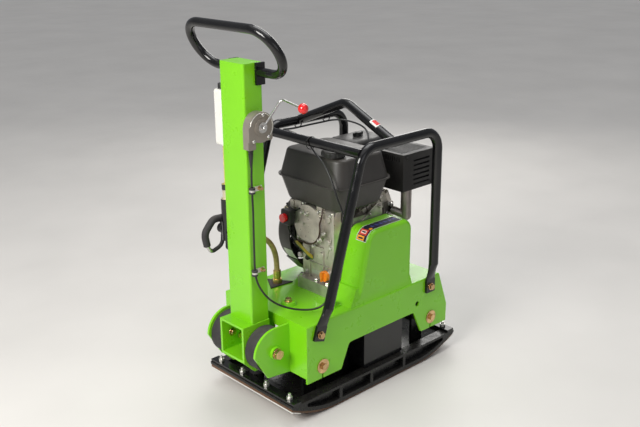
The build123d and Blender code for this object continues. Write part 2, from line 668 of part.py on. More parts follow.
def air_cleaner():
    """Carburettor-side filter box: a base and a domed cover."""
    base = box((122, 286), (38, 160), (628, 668))
    base = fillet(base.edges().filter_by(Axis.Z), 22)
    cover = box((118, 290), (34, 164), (668, 730))
    cover = fillet(cover.edges().filter_by(Axis.Z), 26)
    cover = fillet(cover.faces().sort_by(Axis.Z)[-1].edges(), 18)
    cover -= box((128, 280), (44, 154), (660, 712))
    base -= box((128, 280), (44, 154), (634, 675))
    return [base, cover - rod((*KNOB, 700), (*KNOB, 760), 5.3)]


KNOB = (200.0, 100.0)


def air_cleaner_knob():
    knob = rod((*KNOB, 705), (*KNOB, 738), 5)
    knob += fillet(rod((*KNOB, 730.3), (*KNOB, 744), 12).edges().sort_by(Axis.Z)[-1], 3)
    return knob + box((KNOB[0] - 22, KNOB[0] + 22), (KNOB[1] - 2.5, KNOB[1] + 2.5), (731, 743))


def carburettor():
    body = box((122, 172), (84, 124), (590, 628)) + rod((147, 104, 566), (147, 104, 592), 20)
    x, z = THROTTLE_ARM
    body += box((x - 9, x + 9), (16, 86), (z - 12, z - 4))
    body += box((x - 9, x + 9), (16, 22), (z - 12, z + 9))
    return body - disc(THROTTLE_ARM, (0, 40), 3.05)


def throttle_arm():
    """The engine's throttle lever, pulled by the cable."""
    x, z = THROTTLE_ARM
    y = (12, 16 - GAP)
    arm = disc((x, z), y, 9) + slab([(x - 6, z), (x + 6, z), (x + 4, z + 34), (x - 4, z + 34)], y)
    return arm + disc((x, z + 30), (8, 16 - GAP), 4) + disc((x, z), (12, 26), 3)


THROTTLE_ARM = (146.0, 604.0)


def switch_box():
    x, y, z = SWITCH
    body = fillet(box((x, x + 25), (y - 21, y + 21), (z - 25, z + 25)).edges(), 5)
    body += box((x + 24, CASE_X[0]), (CASE_Y[1] - 7, CASE_Y[1]), (z - 14, z + 14))
    return body - rod((x - 1, y, z), (x + 12, y, z), 8.3)


SWITCH = (-136.0, 90.0, 527.0)


def engine_switch():
    x, y, z = SWITCH
    knob = rod((x + 10, y, z), (x - 2, y, z), 8) + rod((x - GAP, y, z), (x - 13, y, z), 14)
    return fillet(knob.edges().filter_by(GeomType.CIRCLE).sort_by(Axis.X)[:1], 1.5)


DIPSTICK = (-56.0, 362.0)


def oil_dipstick():
    y, z = DIPSTICK
    stick = rod((-75, y, z), (-99, y, z), 10) + rod((-98.3, y, z), (-110, y, z), 17)
    return stick + box((-120, -108), (y - 3, y + 3), (z - 15, z + 15))


# ---- handle -------------------------------------------------------------------------------------
def handle_column():
    """The column, its bracket and the bracket's cheeks, welded into one piece."""
    x, z = COLUMN_X, COLUMN_Z
    column = box(x, (-COLUMN_Y, COLUMN_Y), z)
    column = fillet(column.edges().filter_by(Axis.Z), 6)
    column -= box((x[0] + WALL, x[1] - WALL), (WALL - COLUMN_Y, COLUMN_Y - WALL), (z[0] - 1, z[1] - WALL))
    half = CHEEK_Y - 2
    bracket = box((-430, -330), (-half, half), (176, z[0]))
    bracket -= box((-431, -338), (8 - half, half - 8), (184, z[0] - 7))
    cheek = slab([(-430, 176), (-392, 138), (-362, 138), (-336, 168), (-330, 180), (-330, z[0]), (-430, z[0])],
                 (half - 8, half), [0, 4, 4, 3, 0, 0, 0])
    for plate in both_sides(cheek + disc(PIVOT, (half, CHEEK_Y), 26)):
        bracket += plate
    bracket -= disc(PIVOT, (-70, 70), 10 + FIT)
    return column + bracket


def pivot_bolts():
    """One bolt a side, through an ear and its rubber disc into the bracket's cheek."""
    x, z = PIVOT
    out = EAR_Y + EAR_T + 9
    bolt = hex_bolt((x, out, z), (0, -1, 0), 27, 11, 10, out - 44, washer=(17, 3))
    return both_sides(bolt)


def rubber_discs():
    return both_sides(ring(PIVOT, (CHEEK_Y + GAP, EAR_Y), DISC_R, 10.2))


def bump_stop():
    """The rubber stop on the plate that the bracket's foot comes down to."""
    return fillet(rod((*BUMP, RIM_Z + 6), (*BUMP, 108), 22).edges().sort_by(Axis.Z)[-1], 8)


def ring_point(across, along):
    lean = radians(RING_TILT)
    return (RING_FOOT[0] - along * sin(lean), across, RING_FOOT[1] + along * cos(lean))


def ring_handle():
    """The closed grip ring, cut by the column, and the two plates that hold it."""
    side, top = RING_HALF + RING_BEND, 2 * RING_BEND
    points = [ring_point(-COLUMN_Y - 4, 0), ring_point(-side, 0), ring_point(-side, top),
              ring_point(side, top), ring_point(side, 0), ring_point(COLUMN_Y + 4, 0)]
    ring_tube = tube(points, [RING_BEND - 0.05] * 4, RING_R)
    plate = box((-354, -324), (COLUMN_Y, COLUMN_Y + 8), (994, 1055))
    for pad in both_sides(plate):
        ring_tube += pad
    return ring_tube


HOUSING_FACE = -COLUMN_Y - 27


def throttle_housing():
    """The lever housing: a round dish, a straight back edge and a tail for the cable."""
    x, z = THROTTLE
    y = (HOUSING_FACE, -COLUMN_Y)
    case = disc(THROTTLE, y, 43)
    case += slab([(-402, 842), (-402, 884), (x - 30, z + 30), (x + 34, z + 6), (-318, 842)], y, [6, 8, 0, 0, 6])
    case += slab([(-402, 822), (-402, 870), (-376, 870), (-376, 822)], (y[0] + 4, y[1]), 3)
    case += disc(THROTTLE, (y[0] - 3, y[0]), 24)
    return case - disc(THROTTLE, (y[0] - 5, y[0] + 20), 6 + FIT)


def throttle_lever():
    """The lever: hub, crooked wire arm and ball."""
    x, z = THROTTLE
    y = HOUSING_FACE - 3 - GAP
    lever = disc(THROTTLE, (y - 4, y), 15) + disc(THROTTLE, (y - 2, y + 20), 6)
    lever += disc(THROTTLE, (y - 8, y - 4), 6)
    arm_y = y - 3.4
    points = [(x + 8, arm_y, z + 8), (-318, arm_y, 922), (-292, arm_y - 2, 952), (BALL[0], BALL[1] + 5, BALL[2])]
    lever += tube(points, [10, 12], 3.2)
    return lever, Pos(*BALL) * Sphere(14.5)


BALL = (-290.0, -175.0, 938.0)

CABLE_R = 3.0
CLIP_Z = (703.0, 456.0)
CABLE_X, CABLE_Y = -385.0, -63.0


def cable_clips():
    """P-clips: a band round the cable, a tab and its screw."""
    clips = []
    for z in CLIP_Z:
        band_ring = rod((CABLE_X, CABLE_Y, z - 7), (CABLE_X, CABLE_Y, z + 7), 8.5)
        tab = box((CABLE_X, CABLE_X + 41), (-COLUMN_Y - 4, -COLUMN_Y), (z - 7, z + 7))
        clip = band_ring + tab - rod((CABLE_X, CABLE_Y, z - 9), (CABLE_X, CABLE_Y, z + 9), CABLE_R)
        clip = clip - box((-420, -300), (-COLUMN_Y, 0), (z - 9, z + 9))
        clips.append(clip + hex_bolt((CABLE_X + 33, -COLUMN_Y - 4, z), (0, 1, 0), 10, 9, 2.5, 2, washer=(7, 1.5)))
    return clips


CABLE_ROUTE = [
    (CABLE_X, CABLE_Y, 820), (CABLE_X, CABLE_Y - 2, 780), (CABLE_X - 1, CABLE_Y, 738),
    (CABLE_X, CABLE_Y, 690), (CABLE_X - 2, CABLE_Y - 4, 640), (CABLE_X - 2, CABLE_Y - 3, 580),
    (CABLE_X, CABLE_Y, 520), (CABLE_X, CABLE_Y, 470), (CABLE_X + 2, CABLE_Y - 1, 440), (CABLE_X + 12, CABLE_Y - 4, 408),
    (-352, -74, 372), (-322, -84, 344), (-286, -98, 324), (-252, -115, 314), (-222, -136, 313), (-200, -152, 324),
    (-187, -160, 349), (-170, -164, 398), (-152, -165, 453), (-138, -165, 506), (-127, -165, 552),
    (-125, -163, 586), (-130, -157, 614), (-136, -147, 642), (-138, -133, 678), (-137, -112, 713),
    (-134, -86, 737), (-130, -60, 752), (-121, -36, 759), (-107, -12, 761), (-91, 12, 763), (-81, 34, 772),
    (-78, 60, 781), (-78, 90, 786), (-80, 118, 789),
    (-78, 148, 790), (-60, 176, 784), (-24, 189, 776), (24, 190, 775), (74, 189, 776), (122, 190, 775),
    (164, 188, 776), (194, 172, 775), (206, 140, 772), (208, 102, 768), (200, 66, 762), (184, 36, 748),
    (164, 17, 722), (151, 11, 690), (146, 10, 662), (146, 9, 641),
]

RESERVOIR = ((-386.0, -322.0), (53.0, 99.0), (807.0, 970.0))
PUMP = (-372.0, 74.0)


def reservoir():
    """The hydraulic oil bottle."""
    bottle = fillet(box(*RESERVOIR).edges(), 9)
    return bottle - fillet(box(*[(low + 3, high - 3) for low, high in RESERVOIR]).edges(), 6)


def reservoir_cap():
    x, y = -368, 76
    return fillet(rod((x, y, 970.3), (x, y, 986), 13).edges().sort_by(Axis.Z)[-1], 3)


def pump():
    """The travel pump: feed pipe, nuts and cylinder, and the boss that carries its lever."""
    x, y = PUMP
    feed = rod((x, y, 692), (x, y, 807), 4.5)
    nut = Pos(x, y, 675) * extrude(RegularPolygon(12, 6, major_radius=False), 17)
    fitting = rod((x, y, 648), (x, y, 675), 11)
    barrel = rod((x, y, 520), (x, y, 648), 17) + rod((x, y, 496), (x, y, 520), 9) + Pos(x, y, 496) * Sphere(9)
    barrel += rod((x, y, 496), (HOSE_ROUTE[-1][0] - GAP, y, 496), 9)
    boss = disc(TRAVEL, (COLUMN_Y + 1, 93), 20) + box((-384, -350), (COLUMN_Y, 62), (530, 640))
    return feed + nut + fitting + barrel + boss


def travel_lever():
    """The loop lever: a rubber grip on the loop's outer half, a bare rod back to the hub."""
    y = 107.0
    x, z = TRAVEL
    hub = disc(TRAVEL, (93 + GAP, y + 9), 15)
    grip = tube([(x + 1, y, z + 33), (x - 34, y, z + 35), (x - 68, y, z - 2), (x - 60, y, z - 42)],
                [24, 34], 11)
    bare = tube([(x - 60, y, z - 42), (x - 46, y, z - 66), (x - 4, y, z - 52), (x, y, z - 10)], [16, 26], 6)
    stem = rod((x, y, z + 10), (x, y, z + 34), 8)
    return hub + stem + grip + bare


def shift_piston():
    """The piston that shifts the gears' phase and so the direction of travel."""
    piston = disc(FREE, (118, 142), 18 - FIT) + disc(FREE, (112, 118), 9)
    return piston


HOSE_R = 9.0
HOSE_ROUTE = [(-150, 118, 324), (-150, 118, 356), (-155, 116, 396), (-171, 112, 434), (-200, 104, 466),
              (-240, 95, 486), (-282, 82, 495), (-318, 74, 496), (-346, 74, 496)]


def hose_union():
    """The union that the hose rises from, and the flap that closes the deck round it."""
    x, y = HOSE_ROUTE[0][:2]
    union = rod((x, y, DECK_Z - 12), (x, y, 324 - GAP), 10.5) + Pos(x, y, DECK_Z + 4) * extrude(
        RegularPolygon(14, 6, major_radius=False), 14)
    flap = extrude(make_face(Polyline((-154, 164), (-108, 90), (-194, 98), close=True)), 4)
    return union + Pos(0, 0, DECK_Z) * flap


# ---- write every node ---------------------------------------------------------------------------
def main():
    bars, strips, bolts = clamp_bars()
    save("base_plate", base_plate())
    save("paving_mat", paving_mat())
    save("clamp_bars", *bars)
    save("clamp_strips", *strips)
    save("clamp_bolts", *bolts)
    save("exciter_housing", exciter_housing())
    save("exciter_covers", *exciter_covers())
    save("bearings", *exciter_bearings(), *crank_bearings())
    save("exciter_shaft_driven", exciter_shaft(DRIVEN, -168))
    save("exciter_shaft_free", exciter_shaft(FREE, -97))
    save("exciter_gear_driven", gear(DRIVEN, 0))
    save("exciter_gear_free", gear(FREE, 360 / TEETH / 2))
    save("exciter_pulley", pulley(DRIVEN, PULLEY_R, (-158, -122), SHAFT_R - FIT))
    save("shift_piston", shift_piston())
    save("shock_mounts", *shock_mounts())
    save("frame_bolts", *frame_bolts())
    save("console", console())
    save("belt_guard", belt_guard())
    right, left = mirror(cage_hoop(), about=Plane.XZ), cage_hoop()
    save("cage_hoop_right", right)
    save("cage_hoop_left", left)
    save("cage_crossbar", crossbar([right, left]))
    save("lifting_arch", lifting_arch([right, left]))
    save("belt_cover", belt_cover(), cover_latch())
    save("drive_belt", drive_belt())
    save("engine_rails", *engine_rails())
    save("crankcase", crankcase())
    save("cylinder", *cylinder())
    save("crankshaft", crankshaft())
    save("clutch_drum", pulley(CRANK, CLUTCH_R, (-168, -118), 12.5))
    save("flywheel", flywheel())
    save("fan_housing", fan_housing())
    save("recoil_cover", recoil_cover())
    save("recoil_grip", recoil_grip())
    save("recoil_rope", recoil_rope())
    save("fuel_tank", fuel_tank())
    save("fuel_cap", fuel_cap())
    save("muffler", muffler())
    save("muffler_guard", muffler_guard())
    save("air_cleaner", *air_cleaner())
    save("air_cleaner_knob", air_cleaner_knob())
    save("carburettor", carburettor())
    save("throttle_arm", throttle_arm())
    save("switch_box", switch_box())
    save("engine_switch", engine_switch())
    save("oil_dipstick", oil_dipstick())
    save("pivot_bolts", *pivot_bolts())
    save("rubber_discs", *rubber_discs())
    save("bump_stop", bump_stop())
    save("handle_column", handle_column())
    save("ring_handle", ring_handle())
    save("throttle_housing", throttle_housing())
    lever, ball = throttle_lever()
    save("throttle_lever", lever - ball, ball)
    save("cable_clips", *cable_clips())
    save("throttle_cable", tube(CABLE_ROUTE, cable_radii(CABLE_ROUTE), CABLE_R))
    save("reservoir", reservoir())
    save("reservoir_cap", reservoir_cap())
    save("pump", pump())
    save("travel_lever", travel_lever())
    save("hydraulic_hose", tube(HOSE_ROUTE, cable_radii(HOSE_ROUTE), HOSE_R))
    save("hose_union", hose_union())


main()
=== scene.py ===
"""Looks of the plate compactor.

X points forward, Y to the machine's left and Z up. Every piece is built in millimetres in the record's
frame, and scaled to metres by piece().
"""

import json
from math import cos, hypot, pi, radians, sin, tan

import bmesh
import bpy
from mathutils import Matrix, Vector


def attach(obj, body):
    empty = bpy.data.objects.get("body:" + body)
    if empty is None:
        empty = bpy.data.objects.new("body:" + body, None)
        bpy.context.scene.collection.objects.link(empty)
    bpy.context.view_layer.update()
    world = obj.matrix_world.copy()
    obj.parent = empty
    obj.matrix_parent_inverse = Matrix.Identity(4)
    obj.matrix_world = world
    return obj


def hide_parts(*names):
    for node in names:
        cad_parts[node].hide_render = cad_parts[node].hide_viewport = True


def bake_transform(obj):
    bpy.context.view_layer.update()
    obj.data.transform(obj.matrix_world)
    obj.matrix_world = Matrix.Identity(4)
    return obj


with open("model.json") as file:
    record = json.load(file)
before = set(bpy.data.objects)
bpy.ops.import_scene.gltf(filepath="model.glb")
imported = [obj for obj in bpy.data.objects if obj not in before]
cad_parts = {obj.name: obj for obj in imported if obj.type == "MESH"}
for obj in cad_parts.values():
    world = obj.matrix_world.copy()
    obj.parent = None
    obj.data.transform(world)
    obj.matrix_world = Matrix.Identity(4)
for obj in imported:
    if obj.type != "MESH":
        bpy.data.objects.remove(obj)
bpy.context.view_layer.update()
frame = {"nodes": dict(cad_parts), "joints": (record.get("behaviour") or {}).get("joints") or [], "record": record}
NODES = frame["nodes"]
JOINTS = {joint["name"]: joint for joint in frame["joints"]}
BODY_OF = {node: body for body, nodes in frame["record"]["behaviour"]["bodies"].items() for node in nodes}
SLOT_OF = {part["node"]: part["material_slot"] for part in frame["record"]["subparts"]}
MM = 0.001
scene = bpy.context.scene


# ---- camera, floor and light ----------------------------------------------------------------------
CAMERA_AT = Vector((-1.8765, -1.9388, 1.4468))
CAMERA_YAW, CAMERA_DOWN, CAMERA_ROLL = radians(47.0), radians(18.77), radians(0.53)
CAMERA_LENS, SENSOR_WIDTH = 50.54, 36.0
FLOOR_HALF, FLOOR_DROP = 24.0, 0.0005
SKY_POWER, SKY_SPREAD = 0.95, radians(80)
WORLD_COLOR, WORLD_POWER = (0.90, 0.93, 1.0, 1), 0.26
WARM, COOL, WHITE = (1, 0.98, 0.94), (0.95, 0.97, 1), (1, 1, 1)


def make_camera():
    """A view from behind and to the right, looking down, with a slight roll."""
    data = bpy.data.cameras.new("camera")
    data.lens = CAMERA_LENS
    data.sensor_width = SENSOR_WIDTH
    camera = bpy.data.objects.new("camera", data)
    scene.collection.objects.link(camera)
    forward = Vector((cos(CAMERA_YAW), sin(CAMERA_YAW), 0))
    right = Vector((sin(CAMERA_YAW), -cos(CAMERA_YAW), 0))
    ahead = forward * cos(CAMERA_DOWN) - Vector((0, 0, 1)) * sin(CAMERA_DOWN)
    down = -Vector((0, 0, 1)) * cos(CAMERA_DOWN) - forward * sin(CAMERA_DOWN)
    side = right * cos(CAMERA_ROLL) + down * sin(CAMERA_ROLL)
    lower = down * cos(CAMERA_ROLL) - right * sin(CAMERA_ROLL)
    axes = Matrix((side, -lower, -ahead)).transposed()
    camera.matrix_world = Matrix.Translation(CAMERA_AT) @ axes.to_4x4()
    scene.camera = camera


def area_light(name, at, target, size, power, tint):
    data = bpy.data.lights.new(name, "AREA")
    data.shape = "RECTANGLE"
    data.size, data.size_y = size
    data.energy = power
    data.color = tint
    light = bpy.data.objects.new(name, data)
    light.location = at
    light.rotation_euler = (Vector(target) - Vector(at)).to_track_quat("-Z", "Y").to_euler()
    scene.collection.objects.link(light)


def sky_light():
    """A very wide sun: even light from above."""
    data = bpy.data.lights.new("sky", "SUN")
    data.energy, data.angle = SKY_POWER, SKY_SPREAD
    scene.collection.objects.link(bpy.data.objects.new("sky", data))


def make_stage():
    """A plain pale floor, soft lights and a faint even world."""
    world = bpy.data.worlds.new("world")
    world.use_nodes = True
    background = world.node_tree.nodes["Background"]
    background.inputs["Color"].default_value = WORLD_COLOR
    background.inputs["Strength"].default_value = WORLD_POWER
    scene.world = world
    floor = bpy.data.meshes.new("floor")
    bm = bmesh.new()
    bmesh.ops.create_grid(bm, x_segments=1, y_segments=1, size=FLOOR_HALF)
    bm.to_mesh(floor)
    bm.free()
    ground = bpy.data.objects.new("floor", floor)
    ground.location = (0, 0, -FLOOR_DROP)
    scene.collection.objects.link(ground)
    floor.materials.append(material("floor_grey", (0.62, 0.60, 0.57), rough=0.55, vary=0.04, vary_scale=1.5,
                                    bump=0.05, bump_scale=60))
    area_light("key", (-3.1, -0.5, 2.3), (-0.1, 0, 0.5), (1.5, 1.2), 120, WARM)
    area_light("fill", (-0.6, -3.4, 1.7), (0, 0, 0.45), (2.0, 1.4), 9, COOL)
    area_light("top", (0.5, 0.1, 3.3), (0, 0, 0.4), (2.0, 1.6), 34, WHITE)
    sky_light()
    area_light("rim", (2.4, 1.9, 1.8), (0, 0, 0.6), (1.4, 1.6), 24, WARM)
    scene.view_settings.view_transform = "Standard"
    scene.view_settings.look = "None"


# ---- materials --------------------------------------------------------------------------------------
MATERIALS = {}
DUST, COAT_ROUGHNESS = (0.35, 0.31, 0.26), 0.06
NOISE_RANGE = (0.3, 0.7)  # where a noise texture's values mostly lie


def material(name, color, rough=0.5, metal=0.0, coat=0.0, vary=0.05, vary_scale=12.0, rough_vary=0.08,
             bump=0.1, bump_scale=300.0, depth=0.0004, dust=0.0, transmit=0.0, weave=0.0, shine=0.5):
    """A procedural finish: two colour noises, broken-up roughness, a fine bump and dust on what faces up."""
    if name in MATERIALS:
        return MATERIALS[name]
    mat = bpy.data.materials.new(name)
    mat.use_nodes = True
    tree = mat.node_tree
    nodes, links = tree.nodes, tree.links
    shader = nodes["Principled BSDF"]
    shader.inputs["Metallic"].default_value = metal
    shader.inputs["Specular IOR Level"].default_value = shine
    shader.inputs["Coat Weight"].default_value = coat
    shader.inputs["Coat Roughness"].default_value = COAT_ROUGHNESS
    shader.inputs["Transmission Weight"].default_value = transmit
    place = nodes.new("ShaderNodeTexCoord")

    def noise(scale, detail=4.0):
        texture = nodes.new("ShaderNodeTexNoise")
        texture.inputs["Scale"].default_value = scale
        texture.inputs["Detail"].default_value = detail
        links.new(place.outputs["Object"], texture.inputs["Vector"])
        return texture.outputs["Fac"]

    def ramp(value, low, high, start, end):
        node = nodes.new("ShaderNodeMapRange")
        for key, number in (("From Min", low), ("From Max", high), ("To Min", start), ("To Max", end)):
            node.inputs[key].default_value = number
        links.new(value, node.inputs["Value"])
        return node.outputs["Result"]

    def mix(factor, first, second):
        node = nodes.new("ShaderNodeMix")
        node.data_type = "RGBA"
        links.new(factor, node.inputs["Factor"])
        for socket, value in ((node.inputs[6], first), (node.inputs[7], second)):
            if isinstance(value, tuple):
                socket.default_value = (*value, 1)
            else:
                links.new(value, socket)
        return node.outputs[2]

    dark = tuple(channel * (1 - vary) for channel in color)
    light = tuple(min(1.0, channel * (1 + vary) + 0.015 * vary) for channel in color)
    base = mix(ramp(noise(vary_scale), *NOISE_RANGE, 0, 1), dark, light)
    roughness = ramp(noise(vary_scale * 3.1, 6), *NOISE_RANGE, max(0.02, rough - rough_vary),
                     min(1, rough + rough_vary))
    if dust:
        normal = nodes.new("ShaderNodeNewGeometry")
        split = nodes.new("ShaderNodeSeparateXYZ")
        links.new(normal.outputs["Normal"], split.inputs[0])
        up = ramp(split.outputs["Z"], 0.2, 1.0, 0, 1)
        patches = ramp(noise(26, 8), 0.35, 0.75, 0.1, 1)
        amount = nodes.new("ShaderNodeMath")
        amount.operation = "MULTIPLY"
        links.new(up, amount.inputs[0])
        links.new(patches, amount.inputs[1])
        scaled = ramp(amount.outputs[0], 0, 1, 0.02 * dust, dust)
        base = mix(scaled, base, DUST)
        rougher = nodes.new("ShaderNodeMath")
        rougher.operation = "ADD"
        rougher.use_clamp = True
        links.new(roughness, rougher.inputs[0])
        links.new(ramp(scaled, 0, 1, 0, 0.5), rougher.inputs[1])
        roughness = rougher.outputs[0]
    links.new(base, shader.inputs["Base Color"])
    links.new(roughness, shader.inputs["Roughness"])
    if bump:
        relief = nodes.new("ShaderNodeBump")
        relief.inputs["Strength"].default_value = bump
        relief.inputs["Distance"].default_value = depth
        height = noise(bump_scale, 3)
        if weave:
            wave = nodes.new("ShaderNodeTexWave")
            wave.inputs["Scale"].default_value = weave
            wave.bands_direction = "DIAGONAL"
            links.new(place.outputs["Object"], wave.inputs["Vector"])
            height = wave.outputs["Fac"]
        links.new(height, relief.inputs["Height"])
        links.new(relief.outputs["Normal"], shader.inputs["Normal"])
    MATERIALS[name] = mat
    return mat


def green_paint():
    return material("green_paint", (0.185, 0.56, 0.006), rough=0.30, coat=0.25, vary=0.035, vary_scale=5,
                    rough_vary=0.05, bump=0.10, bump_scale=420, depth=0.0002, dust=0.03)


def black_paint():
    return material("black_paint", (0.004, 0.004, 0.0045), rough=0.16, coat=0.05, shine=0.45, vary=0.15,
                    rough_vary=0.06, bump=0.10, bump_scale=380, depth=0.0002, dust=0.01)


def black_casting():
    return material("black_casting", (0.005, 0.005, 0.005), rough=0.30, coat=0.05, shine=0.35, vary=0.3,
                    vary_scale=18, rough_vary=0.12, bump=0.45, bump_scale=260, depth=0.0007, dust=0.05)


def tank_black():
    return material("tank_black", (0.033, 0.030, 0.027), rough=0.44, vary=0.10, rough_vary=0.05, bump=0.18,
                    bump_scale=600, depth=0.0002, dust=0.10)


def moulded_black():
    return material("moulded_black", (0.010, 0.010, 0.010), rough=0.46, vary=0.12, bump=0.25, bump_scale=900,
                    depth=0.0002, dust=0.10)


def rubber():
    return material("rubber", (0.022, 0.020, 0.022), rough=0.72, vary=0.18, vary_scale=20, bump=0.35,
                    bump_scale=500, depth=0.0003, dust=0.15)


def cast_alloy():
    return material("cast_alloy", (0.55, 0.515, 0.455), rough=0.38, metal=0.72, vary=0.20, vary_scale=30,
                    rough_vary=0.12, bump=0.55, bump_scale=520, depth=0.0005, dust=0.10)


def machined():
    return material("machined_steel", (0.60, 0.59, 0.57), rough=0.26, metal=1.0, vary=0.06, bump=0.12,
                    bump_scale=700, depth=0.0001)


def dark_steel():
    return material("dark_steel", (0.13, 0.125, 0.12), rough=0.45, metal=0.8, vary=0.2, bump=0.4,
                    bump_scale=300)


def zinc():
    return material("bright_zinc", (0.66, 0.65, 0.60), rough=0.34, metal=0.85, vary=0.10, vary_scale=30,
                    rough_vary=0.10, bump=0.25, bump_scale=500, depth=0.0003, dust=0.06)


def yellow_zinc():
    return material("yellow_zinc", (0.60, 0.40, 0.20), rough=0.22, metal=1.0, vary=0.40, vary_scale=45,
                    rough_vary=0.10, bump=0.12, bump_scale=600, depth=0.0002)


def brass():
    return material("brass", (0.62, 0.42, 0.16), rough=0.30, metal=1.0, vary=0.15, bump=0.15, bump_scale=500)


def amber_mat():
    return material("amber_mat", (0.105, 0.042, 0.012), rough=0.40, vary=0.15, vary_scale=9, bump=0.2,
                    bump_scale=160, dust=0.25)


def red_gloss():
    return material("red_gloss", (0.62, 0.006, 0.008), rough=0.20, coat=0.6, vary=0.05, bump=0.05,
                    bump_scale=200)


def orange_gloss():
    return material("orange_gloss", (0.80, 0.22, 0.012), rough=0.32, coat=0.2, vary=0.08, bump=0.1)


def milky_plastic():
    return material("milky_plastic", (0.80, 0.79, 0.74), rough=0.35, vary=0.03, bump=0.1, bump_scale=200,
                    transmit=0.15)


def cable_black():
    return material("cable_black", (0.010, 0.010, 0.010), rough=0.38, vary=0.1, bump=0.2, bump_scale=900)


def tan_hose():
    return material("tan_hose", (0.46, 0.32, 0.13), rough=0.38, vary=0.2, vary_scale=60, bump=0.5,
                    bump_scale=900, depth=0.0006, weave=420.0, coat=0.2)


def heat_steel():
    return material("heat_steel", (0.30, 0.27, 0.25), rough=0.42, metal=0.85, vary=0.25, vary_scale=18,
                    bump=0.3, bump_scale=400)


def heat_black():
    return material("heat_black", (0.02, 0.019, 0.018), rough=0.5, metal=0.3, vary=0.2, bump=0.3)


def housing_grey():
    return material("housing_grey", (0.28, 0.25, 0.21), rough=0.38, metal=0.45, vary=0.10, bump=0.3,
                    bump_scale=500)


def strip_zinc():
    return material("strip_zinc", (0.72, 0.71, 0.68), rough=0.40, metal=0.40, vary=0.12, bump=0.2)


def flat_look(name, color):
    """A printed surface."""
    return material(name, color, rough=0.55, vary=0.04, bump=0.03)


LOOKS = {
    "green_paint": green_paint, "black_paint": black_paint, "black_casting": black_casting,
    "mat_amber": amber_mat, "zinc": zinc, "yellow_zinc": yellow_zinc, "rubber_black": rubber,
    "engine_alloy": cast_alloy, "machined_steel": machined, "cast_steel": dark_steel,
    "tank_black": tank_black, "engine_plastic": moulded_black, "muffler_steel": heat_steel,
    "red_plastic": red_gloss, "orange_plastic": orange_gloss, "clear_white": milky_plastic,
    "hose_tan": tan_hose, "brass": brass, "cable_black": cable_black,
}


# ---- mesh helpers: all in millimetres ---------------------------------------------------------------
BEVEL_ANGLE, SHARP_ANGLE, FLAT_ANGLE = radians(32), radians(40), radians(0.6)
WELD = 0.004
BACK, UP, OUT = (-1, 0, 0), (0, 0, 1), (0, -1, 0)  # out is the machine's right, where the belt cover is


def piece(name, bm, look, body, stands_for=(), bevel=0.0):
    """Turns a bmesh in millimetres into a finished piece that rides on a body, if one is given."""
    bmesh.ops.recalc_face_normals(bm, faces=bm.faces)
    bmesh.ops.scale(bm, vec=(MM, MM, MM), verts=bm.verts)
    mesh = bpy.data.meshes.new(name)
    bm.to_mesh(mesh)
    bm.free()
    for face in mesh.polygons:
        face.use_smooth = True
    mesh.set_sharp_from_angle(angle=SHARP_ANGLE)
    obj = bpy.data.objects.new(name, mesh)
    scene.collection.objects.link(obj)
    mesh.materials.append(look)
    if bevel:
        edge = obj.modifiers.new("edges", "BEVEL")
        edge.width = bevel * MM
        edge.segments = 2
        edge.limit_method = "ANGLE"
        edge.angle_limit = BEVEL_ANGLE
        edge.harden_normals = False
        obj.modifiers.new("normals", "WEIGHTED_NORMAL").keep_sharp = True
    if body:
        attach(obj, body)
    if stands_for:
        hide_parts(*stands_for)
    return obj


def solid(name, builder, look, body="machine", bevel=0.0):
    """One added piece whose bmesh a builder fills, in millimetres."""
    bm = bmesh.new()
    builder(bm)
    piece(name, bm, look, body, bevel=bevel)


def node_mesh(node, keep=None):
    """A CAD node's own shape, welded, in millimetres. keep(face's centre) may pick some of its faces."""
    bm = bmesh.new()
    bm.from_mesh(NODES[node].data)
    bmesh.ops.scale(bm, vec=(1 / MM, 1 / MM, 1 / MM), verts=bm.verts)
    bmesh.ops.remove_doubles(bm, verts=bm.verts, dist=WELD)
    if keep:
        others = [face for face in bm.faces if not keep(face.calc_center_median())]
        bmesh.ops.delete(bm, geom=others, context="FACES")
    bmesh.ops.dissolve_limit(bm, angle_limit=FLAT_ANGLE, verts=bm.verts, edges=bm.edges)
    return bm


def refine(node, look, bevel):
    """A CAD node's own shape with softened edges."""
    slot = SLOT_OF[node]
    piece(f"{node}_shell", node_mesh(node), look or LOOKS[slot](), BODY_OF[node], (node,), bevel)


def split(node, groups):
    """A CAD node's own shape as several pieces: (name, look, slot, test on a face's centre)."""
    for name, look, slot, test in groups:
        piece(name, node_mesh(node, test), look, BODY_OF[node], (node,), 0.5)


def add_box(bm, low, high):
    """A box between two corners."""
    centre = (Vector(low) + Vector(high)) / 2
    size = Vector(high) - Vector(low)
    bmesh.ops.create_cube(bm, size=1.0, matrix=Matrix.Translation(centre) @ Matrix.Diagonal((*size, 1)))


def turn_to(direction):
    """The rotation that takes Z to a direction."""
    return Vector(direction).to_track_quat("Z", "Y").to_matrix().to_4x4()


def add_lathe(bm, profile, origin, direction, segments):
    """A body of revolution: profile is (radius, distance along the axis); a zero radius closes it."""
    place = Matrix.Translation(Vector(origin)) @ turn_to(direction)
    rings = []
    for radius, along in profile:
        if radius <= 0:
            rings.append([bm.verts.new(place @ Vector((0, 0, along)))])
            continue
        turns = (2 * pi * step / segments for step in range(segments))
        rings.append([bm.verts.new(place @ Vector((radius * cos(turn), radius * sin(turn), along)))
                      for turn in turns])
    for first, second in zip(rings, rings[1:]):
        for step in range(segments):
            after = (step + 1) % segments
            corners = [first[step % len(first)], first[after % len(first)],
                       second[after % len(second)], second[step % len(second)]]
            unique = list(dict.fromkeys(corners))
            if len(unique) > 2:
                bm.faces.new(unique)


